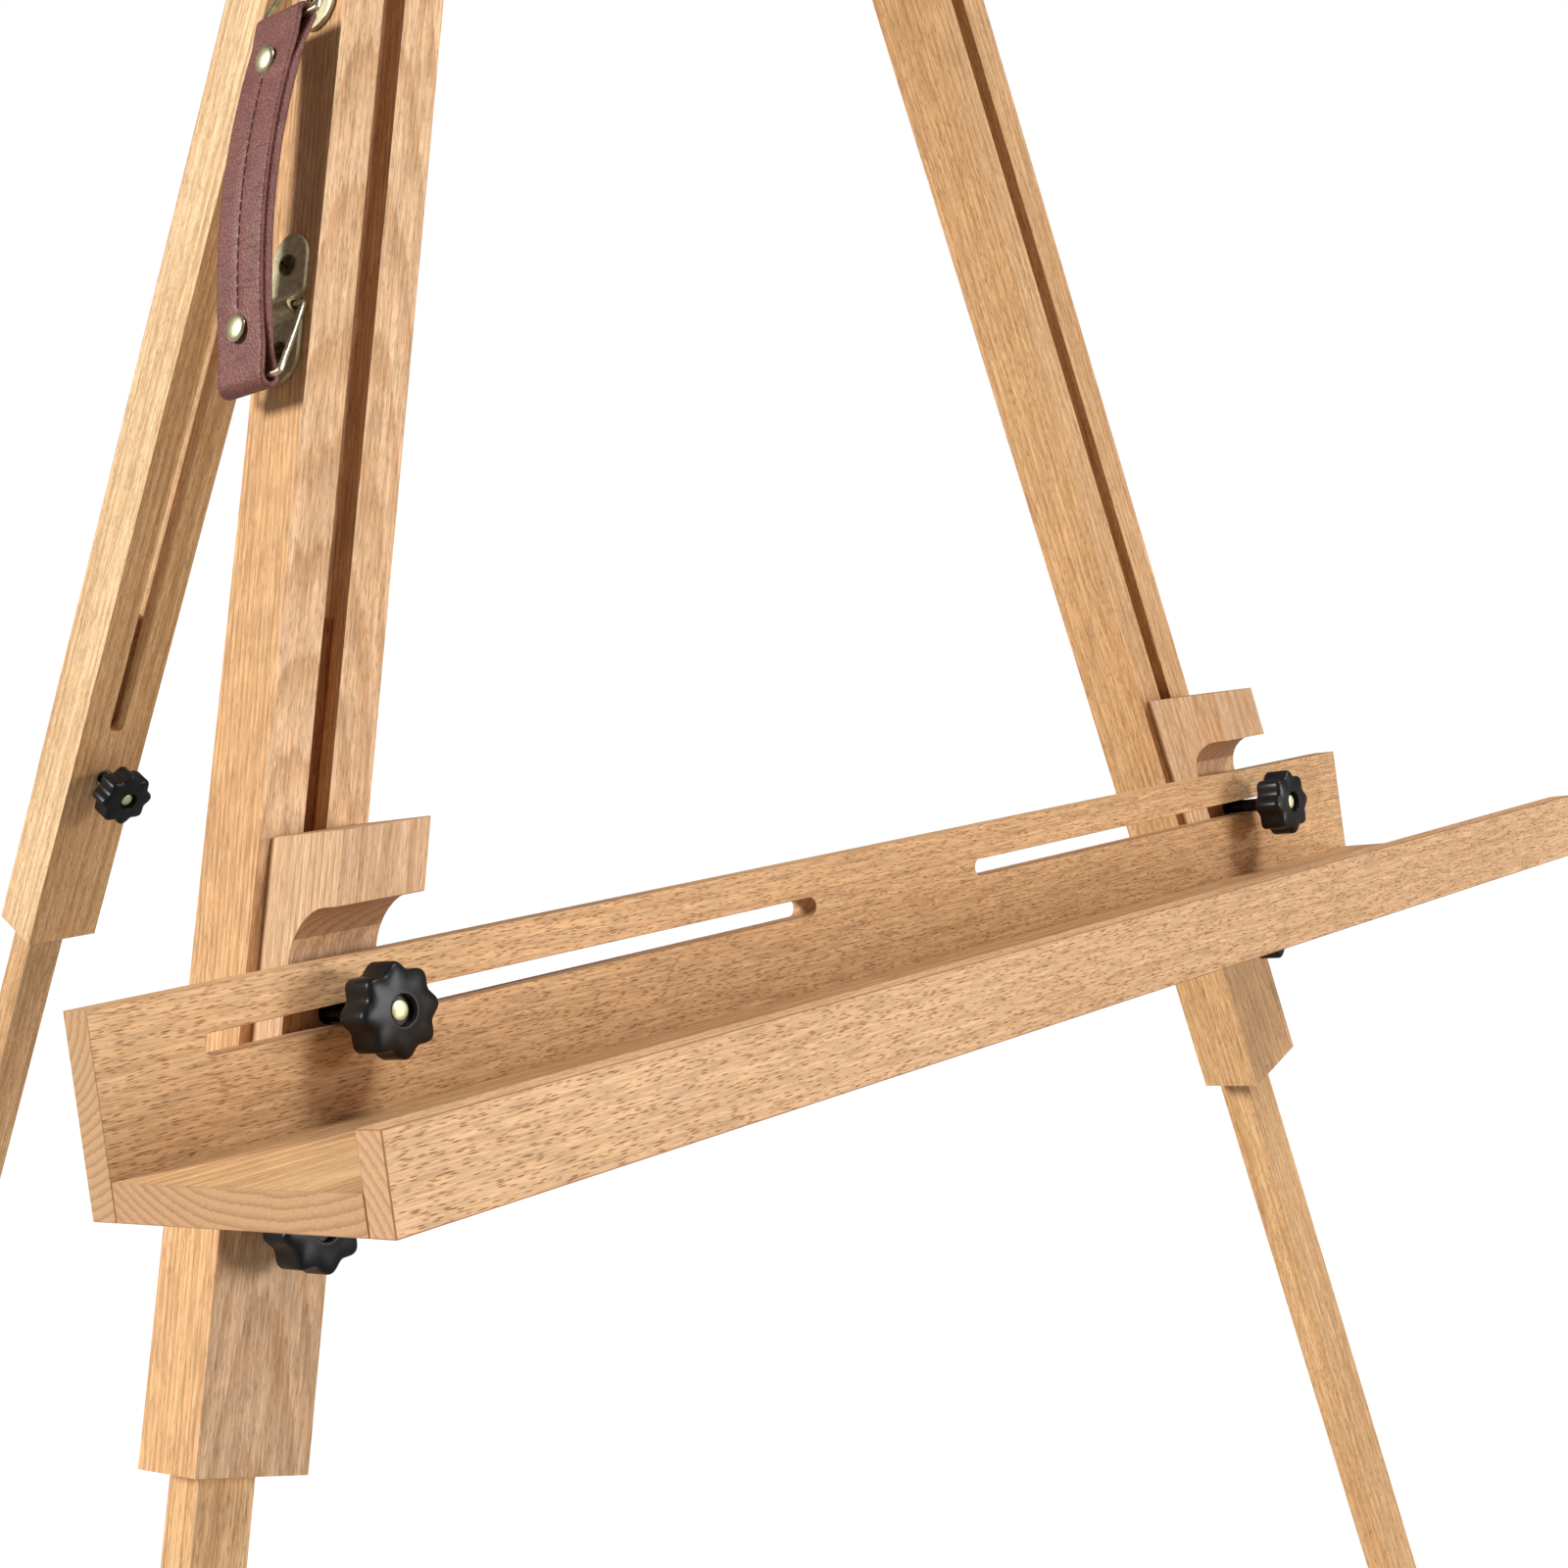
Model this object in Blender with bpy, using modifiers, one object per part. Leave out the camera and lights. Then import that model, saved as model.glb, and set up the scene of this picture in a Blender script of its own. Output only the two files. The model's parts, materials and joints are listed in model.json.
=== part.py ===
"""A beech field easel: a folding tripod with telescoping legs, a paint tray and a carry handle.

The origin is on the floor, under the middle of the easel. +X is the artist's right, +Y points away
from the artist and +Z is up. The two front legs lie in one plane that leans back, called the easel
plane. A place in it is (x, depth, rise): depth grows away from the artist, from 0 on the front
faces of the front legs, and rise grows upward, from 0 at the underside of the tray.
"""

from math import asin, atan2, cos, pi, radians, sin, sqrt, tan

import bmesh
import bpy
from mathutils import Matrix, Vector

# ---- stance ----
LEAN = radians(10.2)  # the easel plane leans back this far
SPLAY = radians(16.75)  # each front leg leans in by this, within the easel plane
REAR_OPENING = radians(36.4)  # from the easel plane to the rear leg
LEG_SPREAD = 0.275  # from the middle to each front leg's centreline, at the tray's underside
PIVOT_RISE = 0.780
HINGE_DEPTH = 0.0587
HINGE_RISE = 0.7239
STANCE_SHIFT = -0.35298  # brings the middle of the easel's depth over the origin
FRONT_EXTENSION = 0.520

# ---- fits ----
GAP = 0.0003  # between faces that touch
CUT = 0.002  # how far a cutter runs past the face it enters
OVERLAP = 0.0001  # how far two solids that are joined run into each other

# ---- upper legs ----
LEG_WIDTH = 0.040
LEG_DEPTH = 0.028
FRONT_LEG_BELOW_TRAY = 0.0914  # from the tray's underside to the end, along the leg
REAR_LEG_LENGTH = 0.833  # from the hinge to the end
REAR_LEG_TOP_RADIUS = 0.0182
SLOT_WIDTH = 0.0085
SLOT_LIP = 0.006  # the wood in front of the rebate that the bolt heads run in
REBATE_WIDTH = 0.0154
WEB = 0.0113  # the wood in front of the channel
CHANNEL_FRONT_WIDTH = 0.0206
CHANNEL_BACK_WIDTH = 0.0190
CHANNEL_TO_TOP = 0.055
SLOT_TO_TOP = 0.075
FRONT_KNOB_ABOVE_END = 0.0724
REAR_KNOB_ABOVE_END = 0.101
SLOT_ABOVE_KNOB = 0.027

# ---- lower legs and feet ----
LOWER_LEG_LENGTH = 0.780
FOOT_STAND = 0.024  # from the wood's end to the floor, along the leg
FOOT_WIDTH = 0.028
FOOT_DEPTH = 0.024
FOOT_GRIP = 0.014  # how far the rubber reaches up the wood
FOOT_BLANK = 0.036  # below the wood, before the sole is cut level
FOOT_EDGE = 0.0015
FLOOR_REACH = 1.0  # of the block that cuts the soles level

# ---- bolts and knobs ----
BOLT_RADIUS = 0.00295
BOLT_HOLE_RADIUS = 0.0033
BOLT_HEAD_RADIUS = 0.0068
BOLT_HEAD_TAPER = 0.72  # the head's radius at its top, as a share of its widest
INSERT_RADIUS = 0.0045
INSERT_LENGTH = 0.009
KNOB_RADIUS = 0.0145
KNOB_SCALLOP = 0.0021
KNOB_LOBES = 8
KNOB_THICKNESS = 0.0125
KNOB_HUB_RADIUS = 0.0056
KNOB_HUB_LENGTH = 0.004
KNOB_RECESS_RADIUS = 0.0042
KNOB_RECESS_DEPTH = 0.0025
KNOB_SOCKET_DEPTH = 0.0088
KNOB_STANDOFF = 0.0113  # from the clamped face to the back of the lobed body

# ---- brackets ----
BRACKET_WIDTH = 0.032
BRACKET_BLANK = 0.080  # the level board that a bracket is sawn from
BRACKET_PLATE = 0.0144
BRACKET_REACH = 0.035
BRACKET_TOP_RISE = 0.0946
BRACKET_BOTTOM_RISE = 0.008
BRACKET_LIP = 0.022
HOLLOW_RADIUS = 0.0145
TONGUE_WIDTH = 0.0081
TONGUE_DEPTH = 0.0052
TONGUE_HALF_LENGTH = 0.022
BOLT_RISE = 0.041

# ---- tray ----
TRAY_LENGTH = 0.700
TRAY_DEPTH = 0.1265
TRAY_BACK_HEIGHT = 0.0575
TRAY_BACK_THICKNESS = 0.011
TRAY_FRONT_HEIGHT = 0.0265
TRAY_FRONT_THICKNESS = 0.010
TRAY_FLOOR_THICKNESS = 0.011
TRAY_SLOT_HEIGHT = 0.0064
TRAY_SLOT_OUTER = 0.035  # from the end of the tray to the slot
TRAY_SLOT_INNER = 0.301

# ---- head, mast and upper clamp ----
HEAD_WIDTH = 0.124
CHEEK_BOTTOM_RISE = 0.695
CHEEK_BACK = 0.075
FORK_WALL_BACK = 0.040
FORK_TOP_RISE = 0.748
FORK_WIDTH = LEG_WIDTH + 0.0012
SHOULDER_RISE = 0.790
CROWN_BOTTOM_RISE = 0.806
CROWN_TOP_RISE = 0.862
CROWN_BACK = 0.052
HEAD_CORNER = 0.018  # sawn off each lower corner
MAST_WIDTH = 0.020
MAST_FRONT = 0.009
MAST_BACK = 0.027
MAST_BOTTOM_RISE = 0.500
MAST_LENGTH = 0.580
MAST_TOP_INSET = 0.003
MAST_TOP_RISE = 0.0025
CLAMP_RISE = 1.005  # the upper clamp's flat underside
CLAMP_WIDTH = 0.060
CLAMP_BACK = 0.040
CLAMP_HEIGHT = 0.060
CLAMP_BOLT_RISE = 0.041
PIVOT_BOLT_RADIUS = 0.0039
PIVOT_HOLE_RADIUS = 0.0042
PIVOT_HEAD_RADIUS = 0.0095
PIVOT_HEAD_DEPTH = 0.0045
PIVOT_BOLT_END = 0.006  # past the wood
NUT_RADIUS = 0.0075
NUT_LENGTH = 0.0072
NUT_DOME_RADIUS = 0.0063
NUT_DOME_TOP_RADIUS = 0.0030
NUT_DOME_HEIGHT = 0.0032

# ---- carry handle, on the outer side of the left front leg ----
# It hangs from the upper wire loop. Both loops hang down from their plates to the strap's ends.
HANDLE_BELOW_PIVOT = 0.5186
HANDLE_DEPTH = 0.0130  # the strap's and plates' middle, behind the leg's front face
PLATE_LENGTH = 0.050
PLATE_WIDTH = 0.0182
PLATE_THICKNESS = 0.0015
PLATE_HOLE_RADIUS = 0.0018
WAIST_RADIUS = 0.0055  # the round notches on both sides of the bridge
WAIST_DEPTH = 0.0034
BRIDGE_RADIUS = 0.0030
WIRE_RADIUS = 0.0011
WIRE_STANDOFF = 0.0018  # the loop's bar in the bridge
LOOP_DROP = 0.0275
LOOP_NARROW = 0.0112  # half the loop's width at the bridge
LOOP_WIDE = 0.0158  # half its width at the strap
LOOP_BEND = 0.0016
STRAP_STANDOFF = 0.0118  # the loop's bar in the strap's end
STRAP_END = 0.0605  # from the strap's middle to the bar
STRAP_WIDTH = 0.0228
STRAP_THICKNESS = 0.0052
STRAP_BULGE = 0.0070  # how much further out its middle stands than its ends
STRAP_SHOULDER = 0.004  # from the grip to the eye
EYE_HEIGHT = 0.0034
EYE_INNER = 0.0050  # the eye's reach from the bar towards the handle's middle
EYE_OUTER = 0.0018
EYE_WALL = 0.0021
RIVET_FROM_MIDDLE = 0.045
RIVET_HOLE_RADIUS = 0.0018
RIVET_SHANK_RADIUS = 0.0015
RIVET_RADIUS = 0.0046
RIVET_TOP_RADIUS = 0.0026
RIVET_HEIGHT = 0.0015
RIVET_BACK_RADIUS = 0.0034
RIVET_BACK_TOP_RADIUS = 0.0028
RIVET_BACK_HEIGHT = 0.0008
SCREW_SPACING = 0.0145
SCREW_SHANK_RADIUS = 0.0014
SCREW_TIP_RADIUS = 0.0006
SCREW_HEAD_RADIUS = 0.0034
SCREW_HEAD_TOP_RADIUS = 0.0022
SCREW_HEAD_HEIGHT = 0.0016
SCREW_LENGTH = 0.007

COLLECTION = "field_easel"
CUTTERS = "cutters"

# a flat outline is drawn in x and y and given its thickness along z; these turn it round
OUTLINE_IN_XZ = Matrix(((1, 0, 0, 0), (0, 0, -1, 0), (0, 1, 0, 0), (0, 0, 0, 1)))
OUTLINE_IN_YZ = Matrix(((0, 0, 1, 0), (1, 0, 0, 0), (0, 1, 0, 0), (0, 0, 0, 1)))


# ---- scene, materials and shapes ----


def clear_scene():
    for obj in list(bpy.data.objects):
        bpy.data.objects.remove(obj, do_unlink=True)
    for name in (COLLECTION, CUTTERS):
        collection = bpy.data.collections.new(name)
        bpy.context.scene.collection.children.link(collection)
    return bpy.data.collections[COLLECTION], bpy.data.collections[CUTTERS]


def material(name, color, roughness, metallic=0.0):
    made = bpy.data.materials.new(name)
    made.use_nodes = True
    shader = made.node_tree.nodes["Principled BSDF"]
    shader.inputs["Base Color"].default_value = (*color, 1.0)
    shader.inputs["Roughness"].default_value = roughness
    shader.inputs["Metallic"].default_value = metallic
    return made


def frame(name, parent=None, location=(0, 0, 0), turn=None):
    """An empty that others are placed from. turn is a matrix."""
    empty = bpy.data.objects.new(name, None)
    empty.empty_display_size = 0.03
    PARTS.objects.link(empty)
    empty.parent = parent
    empty.matrix_local = Matrix.Translation(location) @ (turn or Matrix.Identity(4))
    return empty


def part(name, mesh, look, parent):
    """A named sub-part. Its origin is its parent's."""
    mesh.name = name
    obj = bpy.data.objects.new(name, mesh)
    mesh.materials.clear()
    mesh.materials.append(look)
    PARTS.objects.link(obj)
    obj.parent = parent
    return obj


def shape_cutter(target, mesh, operation="DIFFERENCE", parent=None):
    """Cuts a mesh out of target, or joins it on. The mesh is in target's frame, or in parent's."""
    cutter = bpy.data.objects.new(f"{target.name}_cutter", mesh)
    HIDDEN.objects.link(cutter)
    cutter.parent = parent or target
    cutter.hide_render = True
    cutter.display_type = "WIRE"
    modifier = target.modifiers.new("cut", "BOOLEAN")
    modifier.operation = operation
    modifier.solver = "EXACT"
    modifier.object = cutter


def soften(target, width):
    """Bevels the edges that target has before it is cut."""
    modifier = target.modifiers.new("soft_edges", "BEVEL")
    modifier.width = width
    modifier.segments = 1
    modifier.limit_method = "ANGLE"


def finished(work, smooth=None):
    mesh = bpy.data.meshes.new("shape")
    work.to_mesh(mesh)
    work.free()
    if smooth:
        mesh.shade_smooth()
        mesh.set_sharp_from_angle(angle=smooth)
    return mesh


def block(low, high):
    """A box between two corners."""
    low, high = Vector(low), Vector(high)
    work = bmesh.new()
    bmesh.ops.create_cube(work, size=1.0)
    bmesh.ops.scale(work, vec=high - low, verts=work.verts)
    bmesh.ops.translate(work, vec=(low + high) / 2, verts=work.verts)
    return finished(work)


def rod(start, end, radius, end_radius=None, sides=20):
    """A cylinder or cone between two points."""
    start, end = Vector(start), Vector(end)
    work = bmesh.new()
    bmesh.ops.create_cone(
        work,
        cap_ends=True,
        segments=sides,
        radius1=radius,
        radius2=radius if end_radius is None else end_radius,
        depth=(end - start).length,
    )
    turn = Vector((0, 0, 1)).rotation_difference(end - start).to_matrix().to_4x4()
    bmesh.ops.transform(
        work, matrix=Matrix.Translation((start + end) / 2) @ turn, verts=work.verts
    )
    return finished(work, smooth=radians(40))


def curve_mesh(curve):
    """The closed mesh of a curve, with its loose caps welded on."""
    holder = bpy.data.objects.new("curve", curve)
    bpy.context.scene.collection.objects.link(holder)
    evaluated = holder.evaluated_get(bpy.context.evaluated_depsgraph_get())
    mesh = bpy.data.meshes.new_from_object(evaluated)
    bpy.data.objects.remove(holder)
    work = bmesh.new()
    work.from_mesh(mesh)
    bmesh.ops.remove_doubles(work, verts=work.verts, dist=1e-6)
    bmesh.ops.recalc_face_normals(work, faces=work.faces)
    return finished(work, smooth=radians(40))


def slab(points, thickness, turn, middle=0.0):
    """A flat outline given a thickness. middle is where the thickness is centred."""
    curve = bpy.data.curves.new("outline", "CURVE")
    curve.dimensions = "2D"
    curve.fill_mode = "BOTH"
    curve.extrude = thickness / 2
    spline = curve.splines.new("POLY")
    spline.points.add(len(points) - 1)
    for point, (across, up) in zip(spline.points, points):
        point.co = (across, up, 0, 1)
    spline.use_cyclic_u = True
    mesh = curve_mesh(curve)
    mesh.transform(turn)
    mesh.transform(Matrix.Translation(turn.to_3x3() @ Vector((0, 0, middle))))
    return mesh


def arc(center, radius, start, end, steps=6):
    """Points on a circle, both ends included. Angles are in radians."""
    return [
        (
            center[0] + radius * cos(start + (end - start) * i / steps),
            center[1] + radius * sin(start + (end - start) * i / steps),
        )
        for i in range(steps + 1)
    ]


def round_ended(length, width, center=(0, 0), steps=8):
    """The outline of an upright slot with half-round ends. length is from tip to tip."""
    x, y = center
    reach = (length - width) / 2
    top = arc((x, y + reach), width / 2, 0, pi, steps)
    bottom = arc((x, y - reach), width / 2, pi, 2 * pi, steps)
    return top + bottom


def wire(points, radius):
    """A closed ring of round wire."""
    curve = bpy.data.curves.new("wire", "CURVE")
    curve.dimensions = "3D"
    curve.bevel_depth = radius
    curve.bevel_resolution = 2
    spline = curve.splines.new("POLY")
    spline.points.add(len(points) - 1)
    for point, place in zip(spline.points, points):
        point.co = (*place, 1)
    spline.use_cyclic_u = True
    return curve_mesh(curve)


# ---- legs ----


def upper_leg(name, parent, look, end, front, flat_top):
    """A leg of channel section, from its end up past its joint, which is at z = 0.

    Its front face is at y = front. A front leg's top is round about a pivot along y, and a rear
    leg's, flat_top, about a hinge pin along x.
    """
    half = LEG_WIDTH / 2
    back = front + LEG_DEPTH
    if flat_top:
        corner = asin(LEG_DEPTH / 2 / REAR_LEG_TOP_RADIUS)
        top = arc((0, 0), REAR_LEG_TOP_RADIUS, pi / 2 - corner, pi / 2 + corner, 6)
        outline = [(front, end), (back, end)] + top
        leg = part(name, slab(outline, LEG_WIDTH, OUTLINE_IN_YZ), look, parent)
        pin = rod((-half - CUT, 0, 0), (half + CUT, 0, 0), PIVOT_HOLE_RADIUS)
    else:
        outline = [(-half, end), (half, end)] + arc((0, 0), half, 0, pi, 10)
        body = slab(outline, LEG_DEPTH, OUTLINE_IN_XZ, -(front + back) / 2)
        leg = part(name, body, look, parent)
        pin = rod((0, front - CUT, 0), (0, back + CUT, 0), PIVOT_HOLE_RADIUS)
    shape_cutter(leg, pin)

    channel_top = -CHANNEL_TO_TOP
    section = [
        (-CHANNEL_FRONT_WIDTH / 2, front + WEB),
        (-CHANNEL_BACK_WIDTH / 2, back),
        (-CHANNEL_BACK_WIDTH / 2, back + CUT),
        (CHANNEL_BACK_WIDTH / 2, back + CUT),
        (CHANNEL_BACK_WIDTH / 2, back),
        (CHANNEL_FRONT_WIDTH / 2, front + WEB),
    ]
    length = channel_top - end + CUT
    channel = slab(section, length, Matrix.Identity(4), channel_top - length / 2)
    shape_cutter(leg, channel)
    return leg


def cut_leg_slot(leg, front, low, high):
    """The long slot in the front face, and the wider rebate for bolt heads behind it."""
    middle = (0, (low + high) / 2)
    slot = slab(
        round_ended(high - low, SLOT_WIDTH, middle),
        SLOT_LIP + 2 * CUT,
        OUTLINE_IN_XZ,
        -(front + SLOT_LIP / 2),
    )
    shape_cutter(leg, slot)
    spare = REBATE_WIDTH - SLOT_WIDTH
    depth = WEB - SLOT_LIP + CUT
    rebate = slab(
        round_ended(high - low + spare, REBATE_WIDTH, middle),
        depth,
        OUTLINE_IN_XZ,
        -(front + SLOT_LIP + depth / 2),
    )
    shape_cutter(leg, rebate)


def lower_leg(name, parent, look, low, front):
    """A dovetailed bar that fills the channel of an upper leg."""
    near = CHANNEL_FRONT_WIDTH / 2 - GAP
    far = CHANNEL_BACK_WIDTH / 2 - GAP
    section = [
        (-near, front + WEB + GAP),
        (near, front + WEB + GAP),
        (far, front + LEG_DEPTH - GAP),
        (-far, front + LEG_DEPTH - GAP),
    ]
    middle = low + LOWER_LEG_LENGTH / 2
    bar = slab(section, LOWER_LEG_LENGTH, Matrix.Identity(4), middle)
    return part(name, bar, look, parent)


def foot(name, parent, look, low, front):
    """A rubber boot on the lower leg's end, its sole cut level with the floor."""
    middle = front + (WEB + LEG_DEPTH) / 2
    x, y = FOOT_WIDTH / 2, FOOT_DEPTH / 2
    body = block((-x, middle - y, low - FOOT_BLANK), (x, middle + y, low + FOOT_GRIP))
    boot = part(name, body, look, parent)
    soften(boot, FOOT_EDGE)
    near = CHANNEL_FRONT_WIDTH / 2
    far = CHANNEL_BACK_WIDTH / 2
    section = [
        (-near, front + WEB),
        (near, front + WEB),
        (far, front + LEG_DEPTH),
        (-far, front + LEG_DEPTH),
    ]
    depth = FOOT_GRIP + CUT
    socket = slab(section, depth, Matrix.Identity(4), low - GAP + depth / 2)
    shape_cutter(boot, socket)
    below = block((-FLOOR_REACH, -FLOOR_REACH, -FOOT_BLANK), (FLOOR_REACH, FLOOR_REACH, 0))
    shape_cutter(boot, below, parent=FLOOR)
    return boot


def insert(name, parent, look, front, rise):
    """A threaded brass sleeve, pressed into a leg's web."""
    start, end = front + GAP, front + GAP + INSERT_LENGTH
    sleeve = part(name, rod((0, start, rise), (0, end, rise), INSERT_RADIUS), look, parent)
    shape_cutter(
        sleeve, rod((0, start - CUT, rise), (0, end + CUT, rise), BOLT_HOLE_RADIUS)
    )
    return sleeve


# ---- knobs and bolts ----


def clamp_knob(name, parent, look, face):
    """A lobed knob whose frame's origin is on its bolt's axis, and whose front looks along -y.

    face is the y of the surface that the knob stands in front of.
    """
    back = face - KNOB_STANDOFF
    front = back - KNOB_THICKNESS
    steps = KNOB_LOBES * 6
    outline = []
    for i in range(steps):
        angle = 2 * pi * i / steps
        dip = ((1 - cos(KNOB_LOBES * angle)) / 2) ** 2
        radius = KNOB_RADIUS - KNOB_SCALLOP * dip
        outline.append((radius * cos(angle), radius * sin(angle)))
    body = slab(outline, KNOB_THICKNESS, OUTLINE_IN_XZ, -(back + front) / 2)
    knob = part(name, body, look, parent)
    hub = rod((0, back - CUT, 0), (0, back + KNOB_HUB_LENGTH, 0), KNOB_HUB_RADIUS)
    shape_cutter(knob, hub, "UNION")
    recess = rod((0, front - CUT, 0), (0, front + KNOB_RECESS_DEPTH, 0), KNOB_RECESS_RADIUS)
    shape_cutter(knob, recess)
    socket_end = back - KNOB_SOCKET_DEPTH
    mouth = back + KNOB_HUB_LENGTH + CUT
    shape_cutter(knob, rod((0, mouth, 0), (0, socket_end, 0), BOLT_HOLE_RADIUS))
    return knob


def clamp_bolt(name, parent, look, face, tip):
    """The plain bolt of a clamp knob, from inside the knob to its tip at y = tip."""
    start = face - KNOB_STANDOFF - KNOB_SOCKET_DEPTH + GAP
    return part(name, rod((0, start, 0), (0, tip, 0), BOLT_RADIUS), look, parent)


def headed_bolt(name, parent, look, start, end, radius, head_radius, head_depth):
    """A bolt along y from start to end, with a low domed head beyond its start."""
    bolt = part(name, rod((0, start, 0), (0, end, 0), radius), look, parent)
    way = 1 if start > end else -1
    head = rod(
        (0, start - way * GAP, 0),
        (0, start + way * head_depth, 0),
        head_radius,
        head_radius * BOLT_HEAD_TAPER,
    )
    shape_cutter(bolt, head, "UNION")
    return bolt


def nut(name, parent, look, start):
    """A domed six-sided nut along y, open at its start."""
    end = start + NUT_LENGTH
    body = part(name, rod((0, start, 0), (0, end, 0), NUT_RADIUS, sides=6), look, parent)
    dome = rod(
        (0, end - CUT, 0), (0, end + NUT_DOME_HEIGHT, 0), NUT_DOME_RADIUS, NUT_DOME_TOP_RADIUS
    )
    shape_cutter(body, dome, "UNION")
    shape_cutter(body, rod((0, start - CUT, 0), (0, end, 0), PIVOT_BOLT_RADIUS + GAP))
    return body


# ---- brackets and tray ----


def hook_outline(reach, thickness, lip, height, back):
    """The side outline of a canvas hook: a flat ledge at the top, a lip and a hollow under it.

    It is drawn in depth and rise, with its ledge at rise 0 and its front at depth -reach.
    """
    front = -reach
    plate = -thickness
    hollow = arc(
        (plate - HOLLOW_RADIUS, -lip - HOLLOW_RADIUS), HOLLOW_RADIUS, pi / 2, 0, 8
    )
    return (
        [(back, -height), (back, 0), (front, 0), (front, -lip)]
        + [point for point in hollow if point[0] > front]
        + [(plate, -height)]
    )


def bracket(name, plane, leg_frame, look, side):
    """A canvas bracket on a front leg. Its sides run along the leg and its ledge is level."""
    height = BRACKET_TOP_RISE - BRACKET_BOTTOM_RISE
    outline = hook_outline(BRACKET_REACH, BRACKET_PLATE + GAP, BRACKET_LIP, height, -GAP)
    middle_rise = BRACKET_TOP_RISE - height / 2
    middle_x = side * (LEG_SPREAD - middle_rise * tan(SPLAY))
    mesh = slab(outline, BRACKET_BLANK, OUTLINE_IN_YZ, middle_x)
    to_plane = Matrix.Translation((0, 0, BRACKET_TOP_RISE))
    to_leg = leg_frame.matrix_local.inverted()
    mesh.transform(to_leg @ to_plane)
    work = bmesh.new()
    work.from_mesh(mesh)
    for way in (-1, 1):
        cut = bmesh.ops.bisect_plane(
            work,
            geom=work.verts[:] + work.edges[:] + work.faces[:],
            plane_co=(way * BRACKET_WIDTH / 2, 0, 0),
            plane_no=(way, 0, 0),
            clear_outer=True,
        )
        rim = [item for item in cut["geom_cut"] if isinstance(item, bmesh.types.BMEdge)]
        bmesh.ops.edgeloop_fill(work, edges=rim)
    bmesh.ops.recalc_face_normals(work, faces=work.faces)
    obj = part(name, finished(work), look, leg_frame)
    x = TONGUE_WIDTH / 2
    tongue = block(
        (-x, -CUT, BOLT_Z - TONGUE_HALF_LENGTH), (x, TONGUE_DEPTH, BOLT_Z + TONGUE_HALF_LENGTH)
    )
    shape_cutter(obj, tongue, "UNION")
    hole = rod((0, -BRACKET_REACH - CUT, BOLT_Z), (0, WEB, BOLT_Z), BOLT_HOLE_RADIUS)
    shape_cutter(obj, hole)
    return obj


def make_tray(tray_frame):
    """Three boards: the slotted back, the floor and the front. The frame is on the left bolt."""
    left, right = BOLT_X - TRAY_LENGTH / 2, BOLT_X + TRAY_LENGTH / 2
    bottom = -BOLT_RISE
    back = TRAY_BACK_Y
    back_front = back - TRAY_BACK_THICKNESS
    front = back - TRAY_DEPTH
    front_back = front + TRAY_FRONT_THICKNESS
    seam = GAP / 2

    board = part(
        "tray_back",
        block((left, back_front, bottom), (right, back, bottom + TRAY_BACK_HEIGHT)),
        material("beech_back", BEECH, WOOD_ROUGHNESS),
        tray_frame,
    )
    length = TRAY_SLOT_INNER - TRAY_SLOT_OUTER
    lying = [(along, -up) for up, along in round_ended(length, TRAY_SLOT_HEIGHT)]
    from_end = (TRAY_SLOT_INNER + TRAY_SLOT_OUTER) / 2
    for middle in (left + from_end, right - from_end):
        slot = slab(
            lying, TRAY_BACK_THICKNESS + 2 * CUT, OUTLINE_IN_XZ, -(back + back_front) / 2
        )
        slot.transform(Matrix.Translation((middle, 0, 0)))
        shape_cutter(board, slot)

    part(
        "tray_floor",
        block((left, front_back + seam, bottom),
              (right, back_front - seam, bottom + TRAY_FLOOR_THICKNESS)),
        material("beech_floor", BEECH, WOOD_ROUGHNESS),
        tray_frame,
    )
    part(
        "tray_front",
        block((left, front, bottom), (right, front_back - seam, bottom + TRAY_FRONT_HEIGHT)),
        material("beech_front", BEECH, WOOD_ROUGHNESS),
        tray_frame,
    )


# ---- head, mast and clamp ----


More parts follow.
